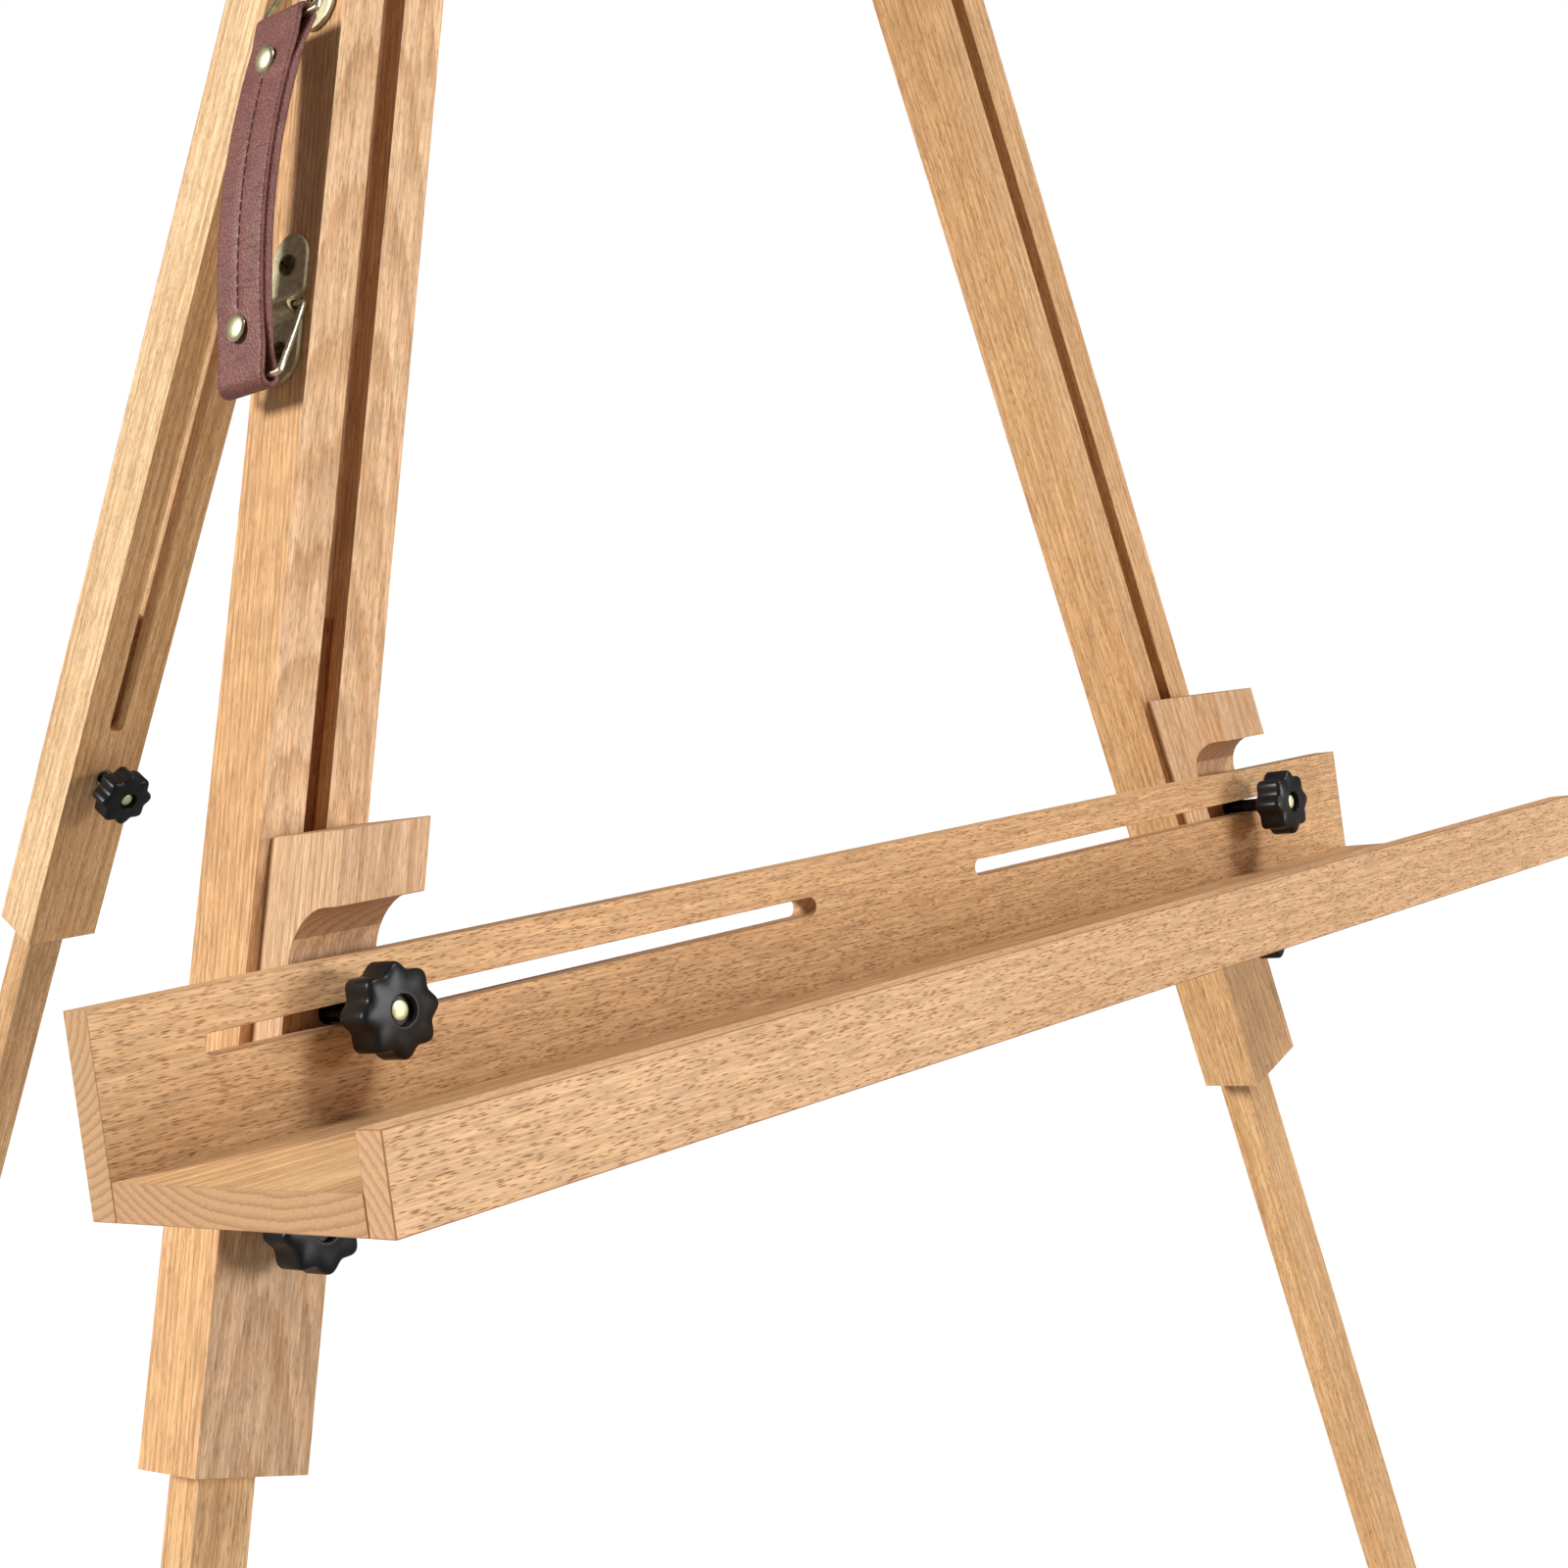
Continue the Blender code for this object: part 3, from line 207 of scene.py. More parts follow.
class Graph:
    """A material's node tree. Each call adds one node and links what it is given."""

    def __init__(self, name):
        self.material = bpy.data.materials.new(name)
        self.material.use_nodes = True
        self.tree = self.material.node_tree
        self.shader = self.tree.nodes["Principled BSDF"]

    def fill(self, socket, value):
        if isinstance(value, bpy.types.NodeSocket):
            self.tree.links.new(value, socket)
        else:
            socket.default_value = value

    def add(self, kind, inputs, **settings):
        node = self.tree.nodes.new(kind)
        for key, value in settings.items():
            setattr(node, key, value)
        for key, value in inputs.items():
            self.fill(node.inputs[key], value)
        return node

    def math(self, operation, a, b=0.0, c=0.0, clamp=False):
        inputs = {0: a, 1: b, 2: c}
        return self.add("ShaderNodeMath", inputs, operation=operation, use_clamp=clamp).outputs[0]

    def vector(self, operation, a, b=(0, 0, 0), scale=1.0):
        node = self.add("ShaderNodeVectorMath", {0: a, 1: b}, operation=operation)
        if operation == "SCALE":
            self.fill(node.inputs["Scale"], scale)
        return node.outputs["Vector"]

    def parts(self, vector):
        """A vector's x, y and z."""
        return self.add("ShaderNodeSeparateXYZ", {0: vector}).outputs

    def pick(self, cells):
        """A number from 0 to 1, the same all over each cell."""
        return self.add("ShaderNodeSeparateColor", {0: cells.outputs["Color"]}).outputs[0]

    def object_place(self):
        return self.add("ShaderNodeTexCoord", {}).outputs["Object"]

    def object_normal(self):
        return self.add("ShaderNodeTexCoord", {}).outputs["Normal"]

    def noise(self, place, scale, detail=2.0, roughness=0.5, distortion=0.0, output="Fac"):
        """scale is a number, or one number for each axis."""
        if not isinstance(scale, (int, float)):
            place = self.vector("MULTIPLY", place, scale)
            scale = 1.0
        inputs = {
            "Vector": place,
            "Scale": scale,
            "Detail": detail,
            "Roughness": roughness,
            "Distortion": distortion,
        }
        return self.add("ShaderNodeTexNoise", inputs).outputs[output]

    def cells(self, place, scale):
        """Cells strewn through space. scale is how many there are in a metre, along each axis."""
        place = self.vector("MULTIPLY", place, scale)
        return self.add("ShaderNodeTexVoronoi", {"Vector": place, "Scale": 1.0})

    def between(self, value, low, high, to_low=0.0, to_high=1.0):
        """Turns low..high smoothly into to_low..to_high."""
        inputs = {0: value, 1: low, 2: high, 3: to_low, 4: to_high}
        return self.add("ShaderNodeMapRange", inputs, interpolation_type="SMOOTHSTEP").outputs[0]

    def ramp(self, value, stops):
        node = self.add("ShaderNodeValToRGB", {0: value})
        elements = node.color_ramp.elements
        while len(elements) < len(stops):
            elements.new(1.0)
        for element, (place, shade) in zip(elements, stops):
            element.position = place
            element.color = (shade, shade, shade, 1.0)
        return node.outputs["Color"]

    def mix(self, factor, a, b, blend="MIX"):
        node = self.add("ShaderNodeMix", {}, data_type="RGBA", blend_type=blend)
        self.fill(node.inputs["Factor"], factor)
        self.fill(node.inputs[MIX_A], a)
        self.fill(node.inputs[MIX_B], b)
        return node.outputs[MIX_RESULT]

    def bump(self, height, strength, distance):
        inputs = {"Height": height, "Strength": strength, "Distance": distance}
        return self.add("ShaderNodeBump", inputs).outputs["Normal"]

    def finish(self, **inputs):
        for key, value in inputs.items():
            self.fill(self.shader.inputs[key.replace("_", " ")], value)
        return self.material


def opaque(color):
    return (*color, 1.0)


def shaded(color, share):
    """A colour made darker or lighter, opaque."""
    return opaque([channel * share for channel in color])


BEECH_PALE = (0.78, 0.505, 0.280)
BEECH_TAN = (0.55, 0.305, 0.140)
BEECH_RAY = (0.36, 0.150, 0.054)
BEECH_RING = (0.56, 0.300, 0.165)
BEECH_GLINT = (0.88, 0.62, 0.40)
BEECH_END = (0.87, 0.86, 0.85)
BEECH_EDGE = (0.66, 0.45, 0.27)

# how fine each part of the figure is, in features to a metre across and along the fibres
SWAY_SCALE = (16, 16, 2.6)
FRINGE_SCALE = (620, 620, 26)
FIBRE_SCALE = (1400, 1400, 70)
STREAK_SCALE = (430, 430, 7.0)
PATCH_SCALE = (22, 22, 6.0)
CURL_SCALE = (60, 60, 42)
STRAY_SCALE = (90, 90, 40)
RAY_SCALE = (1900, 1900, 240)
FLAKE_SCALE = (1400, 1400, 125)
GLINT_SCALE = (1000, 1000, 150)
UNEVEN_YEARS_SCALE = 90.0
WEAR_SCALE = 60.0
# how far the rings and the rays stray, in metres
RING_WANDER = 0.011
RAY_WANDER = 0.0018
# a year's ring: pale early wood, which darkens to a thin line of late wood
YEAR_STOPS = ((0.0, 0.10), (0.45, 0.16), (0.86, 0.80), (0.95, 0.9), (1.0, 0.10))
HALF = (0.5, 0.5, 0.5)
# a face is a side or an end where its normal leans this far that way
SIDE_FACES = 0.7
# END_FACES is low so that the arc of each bracket's hollow counts as end grain and takes the
# brackets' painted shade
END_FACES = 0.4


def beech(name, seed, pith, tilt=(0.0, 0.0), ring=0.0028, tone=(1, 1, 1), side=(1, 1, 1),
          rays=1.0, figure=0.0, contrast=1.0, seam=0.0, streaks=0.8, end=BEECH_END):
    """Oiled beech, its fibres along z. pith is where the tree's middle was, from the board's.

    tilt is how the pith slants, and ring is how thick a year's growth is. tone multiplies the
    whole colour, side the faces along x, and end the end grain. seam darkens the eased edges.
    """
    g = Graph(name)
    place = g.object_place()
    spot = g.vector("ADD", place, (seed * 0.37, seed * 0.71, seed * 1.13))

    # yearly rings round the pith, which wanders along the board
    sway = g.noise(spot, SWAY_SCALE, 2.0, 0.45, output="Color")
    sway = g.vector("SUBTRACT", sway, HALF)
    bent = g.vector("ADD", place, g.vector("SCALE", sway, scale=RING_WANDER))
    split = g.parts(bent)
    across = g.math("SUBTRACT", split[0], g.math("MULTIPLY_ADD", split[2], tilt[0], pith[0]))
    deep = g.math("SUBTRACT", split[1], g.math("MULTIPLY_ADD", split[2], tilt[1], pith[1]))
    radius = g.math("SQRT", g.math("ADD", g.math("MULTIPLY", across, across),
                                   g.math("MULTIPLY", deep, deep)))
    by_radius = g.add("ShaderNodeCombineXYZ", {0: radius, 1: seed}).outputs[0]
    unevenness = g.noise(by_radius, UNEVEN_YEARS_SCALE)
    year = g.math("MULTIPLY_ADD", unevenness, 0.9, g.math("DIVIDE", radius, ring))
    fringe = g.noise(spot, FRINGE_SCALE, 3.0, 0.6)
    year = g.math("MULTIPLY_ADD", fringe, 0.55, year)
    late = g.ramp(g.math("FRACT", year), YEAR_STOPS)

    # fibres, soft patches, pale glints, and short dark rays of two sizes
    fibre = g.noise(spot, FIBRE_SCALE, 3.0, 0.62)
    streak = g.noise(spot, STREAK_SCALE, 3.0, 0.62)
    patch = g.noise(spot, PATCH_SCALE, 2.0, 0.5, 0.6)
    curl = g.noise(spot, CURL_SCALE, 3.0, 0.55, 1.2)
    stray = g.vector("SUBTRACT", g.noise(spot, STRAY_SCALE, output="Color"), HALF)
    strewn = g.vector("ADD", spot, g.vector("SCALE", stray, scale=RAY_WANDER))
    small = g.cells(strewn, RAY_SCALE)
    dash = g.between(small.outputs["Distance"], 0.46, 0.16)
    dash = g.math("MULTIPLY", dash, g.between(g.pick(small), 0.15, 0.65))
    large = g.cells(strewn, FLAKE_SCALE)
    flake = g.between(large.outputs["Distance"], 0.36, 0.14)
    flake = g.math("MULTIPLY", flake, g.between(g.pick(large), 0.60, 0.85))
    dash = g.math("MULTIPLY", g.math("MAXIMUM", dash, flake), rays)
    facing = g.parts(g.object_normal())
    on_side = g.math("GREATER_THAN", g.math("ABSOLUTE", facing[0]), SIDE_FACES)
    on_end = g.math("GREATER_THAN", g.math("ABSOLUTE", facing[2]), END_FACES)
    dash = g.math("MULTIPLY", dash, g.math("SUBTRACT", 1.0, on_end))

    shade = g.math("MULTIPLY", late, 0.50 * contrast)
    shade = g.math("ADD", shade, g.between(patch, 0.3, 0.7, 0.0, 0.32))
    streak = g.between(streak, 0.32, 0.68, -0.30 * streaks, 0.52 * streaks)
    shade = g.math("ADD", shade, streak, clamp=True)
    color = g.mix(shade, opaque(BEECH_PALE), opaque(BEECH_TAN))
    glint = g.between(g.noise(spot, GLINT_SCALE, 2.0, 0.5), 0.55, 0.70, 0.0, 0.30)
    color = g.mix(glint, color, opaque(BEECH_GLINT))
    color = g.mix(g.math("MULTIPLY", dash, 0.66), color, opaque(BEECH_RAY))
    # end grain shows its rings plainly and hardly any fibre
    ends = g.mix(late, opaque(BEECH_PALE), opaque(BEECH_RING))
    color = g.mix(on_end, color, ends)
    fibre_depth = g.math("MULTIPLY_ADD", on_end, -0.16, 0.22)
    grain = g.math("MULTIPLY_ADD", g.between(fibre, 0.30, 0.70, -1.0, 1.0), fibre_depth, 0.98)
    shimmer = g.between(curl, 0.35, 0.65, 1.0 - figure, 1.0 + figure)
    light = g.math("MULTIPLY", grain, shimmer)
    color = g.vector("MULTIPLY", color, tone)
    color = g.vector("SCALE", color, scale=light)

    # faces along x take the side tint, and end grain the end tint, as end grain drinks more oil.
    # On the rear leg the side tint is painted light. On the lower left leg the tone is painted
    # light on the fronts, and the side tint takes it back off the sides. On the brackets the end
    # tint is painted shade in their hollows
    color = g.mix(on_side, color, opaque(side), "MULTIPLY")
    color = g.mix(on_end, color, opaque(end), "MULTIPLY")

    # handling has paled and polished the eased edges in patches; their paler colour is partly a
    # painted highlight along them
    edge = g.add("ShaderNodeAttribute", {}, attribute_name="edge").outputs["Fac"]
    edge_wear_and_highlight_patches = g.between(g.noise(spot, WEAR_SCALE, 3.0), 0.42, 0.62, 0.1, 0.6)
    edge_wear_and_highlight = g.math("MULTIPLY", edge, edge_wear_and_highlight_patches)
    color = g.mix(edge_wear_and_highlight, color, opaque(BEECH_EDGE))
    if seam:
        color = g.mix(g.math("MULTIPLY", edge, seam), color, opaque(BEECH_RAY))

    rough = g.math("MULTIPLY_ADD", fibre, 0.16, 0.40)
    rough = g.math("ADD", rough, g.math("MULTIPLY", dash, 0.10))
    rough = g.math("SUBTRACT", rough, g.math("MULTIPLY", edge_wear_and_highlight, 0.10))
    relief = g.math("SUBTRACT", fibre, g.math("MULTIPLY", dash, 0.9))
    return g.finish(
        Base_Color=color,
        Roughness=rough,
        Specular_IOR_Level=0.20,
        Normal=g.bump(relief, 0.35, 0.00025),
    )


def black_plastic(name, seed):
    g = Graph(name)
    spot = g.vector("ADD", g.object_place(), (seed, seed * 0.6, 0))
    grain = g.noise(spot, 2600.0, 2.0, 0.6)
    smudge = g.noise(spot, 140.0, 3.0, 0.6)
    scuff = g.noise(spot, (900, 900, 120), 2.0, 0.5)
    scuff = g.between(scuff, 0.66, 0.74)
    color = g.mix(smudge, opaque((0.005, 0.005, 0.006)), opaque((0.010, 0.010, 0.010)))
    color = g.mix(g.math("MULTIPLY", scuff, 0.35), color, opaque((0.035, 0.034, 0.033)))
    rough = g.math("MULTIPLY_ADD", smudge, 0.12, 0.28)
    return g.finish(
        Base_Color=color,
        Roughness=g.math("MULTIPLY_ADD", scuff, 0.15, rough),
        Specular_IOR_Level=0.22,
        Normal=g.bump(grain, 0.18, 0.00006),
    )


def metal(name, dark, pale, roughness, seed, tarnish, metallic=1.0):
    """Metal with tarnish in patches and fine scratches along x."""
    g = Graph(name)
    spot = g.vector("ADD", g.object_place(), (seed, seed * 0.6, seed * 0.2))
    cloud = g.noise(spot, 420.0, 4.0, 0.6, 0.4)
    scratch = g.noise(spot, (500, 6000, 6000), 2.0, 0.6)
    fleck = g.between(g.noise(spot, 2400.0, 2.0, 0.5), 0.60, 0.72)
    shade = g.between(cloud, 0.5 - tarnish * 0.3, 0.5 + tarnish * 0.3)
    color = g.mix(shade, opaque(pale), opaque(dark))
    color = g.mix(g.math("MULTIPLY", fleck, 0.4), color, shaded(dark, 0.45))
    rough = g.math("MULTIPLY_ADD", cloud, 0.22, roughness - 0.08)
    return g.finish(
        Base_Color=color,
        Metallic=metallic,
        Roughness=g.math("MULTIPLY_ADD", scratch, 0.10, rough),
        Normal=g.bump(scratch, 0.12, 0.00004),
    )


def leather(name, dark, pale):
    """Grained leather: pebbles with darker creases between them, paler and darker clouds, and
    small pale flecks.
    """
    g = Graph(name)
    spot = g.object_place()
    pebbles = g.cells(spot, (1150, 1150, 1150))
    fine = g.cells(spot, (2300, 2300, 2300))
    bed = g.between(pebbles.outputs["Distance"], 0.15, 0.75)
    small = g.between(fine.outputs["Distance"], 0.1, 0.8)
    crease = g.noise(spot, (260, 90, 420), 4.0, 0.65, 1.5)
    crease = g.between(crease, 0.56, 0.66)
    cloud = g.noise(spot, 110.0, 4.0, 0.6)
    shade = g.between(cloud, 0.25, 0.75, 0.2, 0.8)
    fleck = g.between(g.noise(spot, 1300.0, 2.0, 0.6), 0.62, 0.70)
    color = g.mix(shade, opaque(pale), opaque(dark))
    color = g.mix(g.math("MULTIPLY", bed, 0.40), color, shaded(dark, 0.45))
    color = g.mix(g.math("MULTIPLY", crease, 0.25), color, shaded(dark, 0.5))
    color = g.mix(g.math("MULTIPLY", fleck, 0.40), color, shaded(pale, 1.9))
    height = g.math("ADD", g.math("MULTIPLY", bed, -0.8), g.math("MULTIPLY", small, -0.35))
    height = g.math("SUBTRACT", height, g.math("MULTIPLY", crease, 0.7))
    return g.finish(
        Base_Color=color,
        Roughness=g.math("MULTIPLY_ADD", cloud, 0.18, 0.34),
        Specular_IOR_Level=0.38,
        Normal=g.bump(height, 0.55, 0.00022),
    )


def rubber(name):
    g = Graph(name)
    spot = g.object_place()
    dust = g.between(g.noise(spot, 120.0, 4.0, 0.65), 0.45, 0.70)
    grain = g.noise(spot, 1800.0, 2.0, 0.6)
    color = g.mix(g.math("MULTIPLY", dust, 0.5), opaque((0.016, 0.016, 0.017)),
                  opaque((0.055, 0.052, 0.048)))
    return g.finish(
        Base_Color=color,
        Roughness=g.math("MULTIPLY_ADD", dust, 0.15, 0.62),
        Normal=g.bump(grain, 0.35, 0.00012),
    )


def thread(name, color):
    g = Graph(name)
    spot = g.object_place()
    twist = g.noise(spot, (5200, 5200, 2600), 2.0, 0.5)
    shade = g.mix(twist, opaque(color), shaded(color, 0.45))
    return g.finish(Base_Color=shade, Roughness=0.7, Normal=g.bump(twist, 0.5, 0.0001))


# ---- meshes ----


def object_from(work, name, place, look, smooth=35):
    """Turns a bmesh, drawn in the frame `place`, into an object with one material."""
    bmesh.ops.recalc_face_normals(work, faces=work.faces)
    mesh = bpy.data.meshes.new(name)
    work.to_mesh(mesh)
    work.free()
    mesh.shade_smooth()
    mesh.set_sharp_from_angle(angle=radians(smooth))
    mesh.materials.append(look)
    obj = bpy.data.objects.new(name, mesh)
    obj.matrix_world = place
    bpy.context.scene.collection.objects.link(obj)
    return obj


def settle(obj, body, slot, *nodes):
    """Gives a piece its body, and hides the CAD nodes it stands for. slot is not used."""
    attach(obj, body)
    if nodes:
        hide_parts(*nodes)


def cad_copy(node, place):
    """A node's mesh in the frame `place`, welded and with its flat faces joined up."""
    work = bmesh.new()
    work.from_mesh(frame["nodes"][node].data)
    bmesh.ops.transform(work, matrix=place.inverted(), verts=work.verts)
    bmesh.ops.remove_doubles(work, verts=work.verts, dist=4e-6)
    bmesh.ops.dissolve_limit(
        work, angle_limit=radians(0.6), verts=work.verts, edges=work.edges
    )
    return work


def ease_edges(work, width, segments=2, from_angle=50):
    """Bevels the sharp edges, and marks the new faces in the attribute "edge"."""
    layer = work.faces.layers.float.new("edge")
    sharp = [
        edge for edge in work.edges
        if edge.is_manifold and edge.calc_face_angle() > radians(from_angle)
    ]
    made = bmesh.ops.bevel(
        work, geom=sharp, offset=width, segments=segments, profile=0.5, affect="EDGES",
        clamp_overlap=True,
    )
    for face in made["faces"]:
        face[layer] = 1.0
    bmesh.ops.dissolve_degenerate(work, dist=3e-6, edges=work.edges)


def weigh_normals(obj):
    """Keeps the broad faces flat while the narrow eased edges shade round."""
    modifier = obj.modifiers.new("broad_faces_flat", "WEIGHTED_NORMAL")
    modifier.keep_sharp = True
    modifier.weight = 80


def board(node, body, depth, up, look, edge=0.0006, slot="beech"):
    place = axes_at(box_middle(node), depth, up)
    work = cad_copy(node, place)
    ease_edges(work, edge)
    obj = object_from(work, f"{node}_board", place, look, 50)
    weigh_normals(obj)
    settle(obj, body, slot, node)


def join_loops(work, loops):
    """Faces between each loop of vertices and the next."""
    count = len(loops[0])
    for lower, upper in zip(loops, loops[1:]):
        for i in range(count):
            j = (i + 1) % count
            work.faces.new((lower[i], lower[j], upper[j], upper[i]))


def rings_mesh(rings, closed=False):
    """Joins rings of points, all of one length, into a skin. It is capped unless it is closed."""
    work = bmesh.new()
    loops = [[work.verts.new(point) for point in ring] for ring in rings]
    join_loops(work, loops)
    if closed:
        join_loops(work, [loops[-1], loops[0]])
    else:
        work.faces.new(list(reversed(loops[0])))
        work.faces.new(loops[-1])
    return work


def circles(profile, sides):
    """Rings about y, one for each (radius, y) pair."""
    return [
        [(radius * cos(2 * pi * i / sides), y, radius * sin(2 * pi * i / sides))
         for i in range(sides)]
        for radius, y in profile
    ]


def turned(profile, sides=48):
    """A shape turned about y, from (radius, y) pairs. Its two ends are closed."""
    return rings_mesh(circles(profile, sides))


def rounded(center, radius, start, end, steps=5):
    """Points on an arc, such as (radius, y) pairs for a turned profile."""
    return [
        (
            center[0] + radius * cos(radians(start + (end - start) * i / steps)),
            center[1] + radius * sin(radians(start + (end - start) * i / steps)),
        )
        for i in range(steps + 1)
    ]


def reach_along(node, place, way):
    """How far a node's mesh runs along a direction from a place: (least, most)."""
    along = [(vertex.co - place).dot(way) for vertex in frame["nodes"][node].data.vertices]
    return min(along), max(along)


# ---- knobs and bolts ----

KNOB_RADIUS = 0.0144
KNOB_SCALLOP = 0.0022
KNOB_LOBES = 8
KNOB_THICKNESS = 0.0125
KNOB_HUB_RADIUS = 0.0056
KNOB_BORE_RADIUS = 0.0030
KNOB_RIM = 0.0019
# where the hollows between the lobes fade out, on the knob's back and on its face
LOBES_FADE = (0.0112, 0.0088)
LOBE_SHARPNESS = 0.95
RECESS_RADIUS = 0.0045
RECESS_DEPTH = 0.0024
DISC_RADIUS = 0.0030
THREAD_RADIUS = 0.00294
THREAD_PITCH = 0.0010
THREAD_DEPTH = 0.00032
TRAY_BOLT_HEAD = (0.0068, 0.0044)


def lobed_ring(scale, y, scallop, count=128):
    """A ring of the knob's outline. scallop is how deep the hollows between lobes are."""
    ring = []
    for i in range(count):
        angle = 2 * pi * i / count
        dip = ((1 - cos(KNOB_LOBES * angle)) / 2) ** LOBE_SHARPNESS
        radius = scale - scallop * dip
        ring.append((radius * cos(angle), y, radius * sin(angle)))
    return ring


def knob_mesh(front, hub_end):
    """An eight-lobed knob. It faces -y, with y = front at its face and hub_end behind."""
    back = front + KNOB_THICKNESS
    outer_fade, inner_fade = LOBES_FADE
    rim = KNOB_RIM
    rings = []
    # up the hub, over the back, round the lobes, over the domed face and into its recess
    for radius, y in ((KNOB_BORE_RADIUS, hub_end), (KNOB_HUB_RADIUS - 0.0004, hub_end),
                      (KNOB_HUB_RADIUS, hub_end - 0.0004), (KNOB_HUB_RADIUS, back + 0.0006),
                      (KNOB_HUB_RADIUS + 0.0007, back)):
        rings.append(lobed_ring(radius, y, 0.0))
    for radius, y, share in ((inner_fade, back, 0.25), (outer_fade, back, 0.7),
                             (KNOB_RADIUS - 0.0013, back, 1.0),
                             (KNOB_RADIUS - 0.0004, back - 0.0004, 1.0),
                             (KNOB_RADIUS, back - 0.0013, 1.0)):
        rings.append(lobed_ring(radius, y, KNOB_SCALLOP * share))
    for radius, y in rounded((KNOB_RADIUS - rim, front + 0.0006 + rim), rim, 0, -78, 6):
        rings.append(lobed_ring(radius, y, KNOB_SCALLOP))
    rings.append(lobed_ring(outer_fade, front + 0.0004, KNOB_SCALLOP * 0.75))
    rings.append(lobed_ring(inner_fade, front + 0.0002, KNOB_SCALLOP * 0.3))
    rings.append(lobed_ring(RECESS_RADIUS + 0.0011, front + 0.0001, 0.0))
    for radius, y in rounded((RECESS_RADIUS + 0.0005, front + 0.0005), 0.0005, -90, -180, 3):
        rings.append(lobed_ring(radius, y, 0.0))
    rings.append(lobed_ring(RECESS_RADIUS - 0.0001, front + RECESS_DEPTH, 0.0))
    rings.append(lobed_ring(0.0008, front + RECESS_DEPTH, 0.0))
    return rings_mesh(rings)


def inward_frame(node, joint):
    """A frame on a knob's joint with its y into the easel, and the node's ends along that y."""
    place = joint_place(joint)
    outward = joint_axis(joint)
    least, most = reach_along(node, place, outward)
    if abs(most) < abs(least):
        outward, least, most = -outward, -most, -least
    return axes_along(place, -outward), -most, -least


def make_knob(node, joint, seed):
    """A clamp knob in place of its CAD solid, and the pale disc at the bottom of its recess.

    A knob's body has the name of its node.
    """
    here, front, hub_end = inward_frame(node, joint)
    knob = object_from(knob_mesh(front, hub_end), f"{node}_lobed", here,
                       black_plastic(f"{node}_plastic", seed), 48)
    settle(knob, node, "black_plastic", node)
    bottom = front + RECESS_DEPTH
    profile = [(0.0004, bottom), (DISC_RADIUS, bottom), (DISC_RADIUS, bottom - 0.0004)]
    profile += [(DISC_RADIUS - 0.0004, bottom - 0.0007), (0.0012, bottom - 0.0008),
                (0.0003, bottom - 0.0008)]
    disc = object_from(turned(profile, 32), f"{node}_disc", here, DISC_LOOK)
    settle(disc, node, "old_brass")


def threaded_rings(start, end, radius, sides=28):
    """Rings of a threaded rod along y, chamfered at its start."""
    steps = max(8, int((end - start) / THREAD_PITCH * 5))
    rings = []
    for s in range(steps + 1):
        y = start + (end - start) * s / steps
        limit = radius - max(0.0, THREAD_DEPTH * 1.5 - (y - start))
        ring = []
        for i in range(sides):
            turn = i / sides
            wave = abs(((y / THREAD_PITCH + turn) % 1.0) * 2 - 1)
            r = min(radius - THREAD_DEPTH * wave, limit)
            ring.append((r * cos(2 * pi * turn), y, r * sin(2 * pi * turn)))
        rings.append(ring)
    return rings


def make_bolt(node, body, joint, head=None):
    """A threaded bolt in place of its CAD solid. head is (radius, depth) at its inner end."""
    here, start, end = inward_frame(node, joint)
    if head:
        radius, depth = head
        end -= depth
        rings = threaded_rings(start, end, THREAD_RADIUS)
        sides = len(rings[0])
        rings += circles([(radius - 0.0004, end), (radius, end + 0.0004),
                          (radius, end + depth * 0.55), (radius * 0.93, end + depth * 0.8),
                          (radius * 0.7, end + depth), (0.0006, end + depth)], sides)
    else:
        rings = threaded_rings(start, end, THREAD_RADIUS)
    obj = object_from(rings_mesh(rings), f"{node}_threaded", here, STEEL_LOOK, 60)
    settle(obj, body, "black_steel", node)


# ---- pivot hardware on the head ----


PIVOT_DOME_RADIUS = 0.0093
PIVOT_DOME_RISE = 0.0042
PIVOT_HEAD_DEPTH = 0.0045
PIVOT_SHANK_RADIUS = 0.0038


def make_pivot_set(bolt, nut, start, way):
    """A domed bolt, turned about its axis, and its nut with eased edges, for the CAD solids."""
    least, most = reach_along(bolt, start, way)
    here = axes_along(start, way)
    radius, rise, shank = PIVOT_DOME_RADIUS, PIVOT_DOME_RISE, PIVOT_SHANK_RADIUS
    face = least + PIVOT_HEAD_DEPTH
    profile = [(0.0004, face - rise)]
    profile += [(radius * sin(radians(a)), face - rise * cos(radians(a))) for a in
                (12, 26, 40, 54, 68, 80)]
    profile += [(radius, face - 0.0002), (shank + 0.0001, face - 0.0001)]
    profile += [(shank, face + 0.0003), (shank, most - 0.0012), (0.0032, most - 0.0003),
                (0.0005, most - 0.0003)]
    obj = object_from(turned(profile, 40), f"{bolt}_domed", here, ZINC_LOOK, 30)
    settle(obj, "head", "zinc_steel", bolt)
    work = cad_copy(nut, here)
    ease_edges(work, 0.0003, 2, 28)
    obj = object_from(work, f"{nut}_eased", here, ZINC_LOOK, 40)
    weigh_normals(obj)
    settle(obj, "head", "zinc_steel", nut)


# ---- carry handle ----
# Its frame is on the leg's outer side: y points across the leg to the front, z up the leg, and x
# out of the leg.

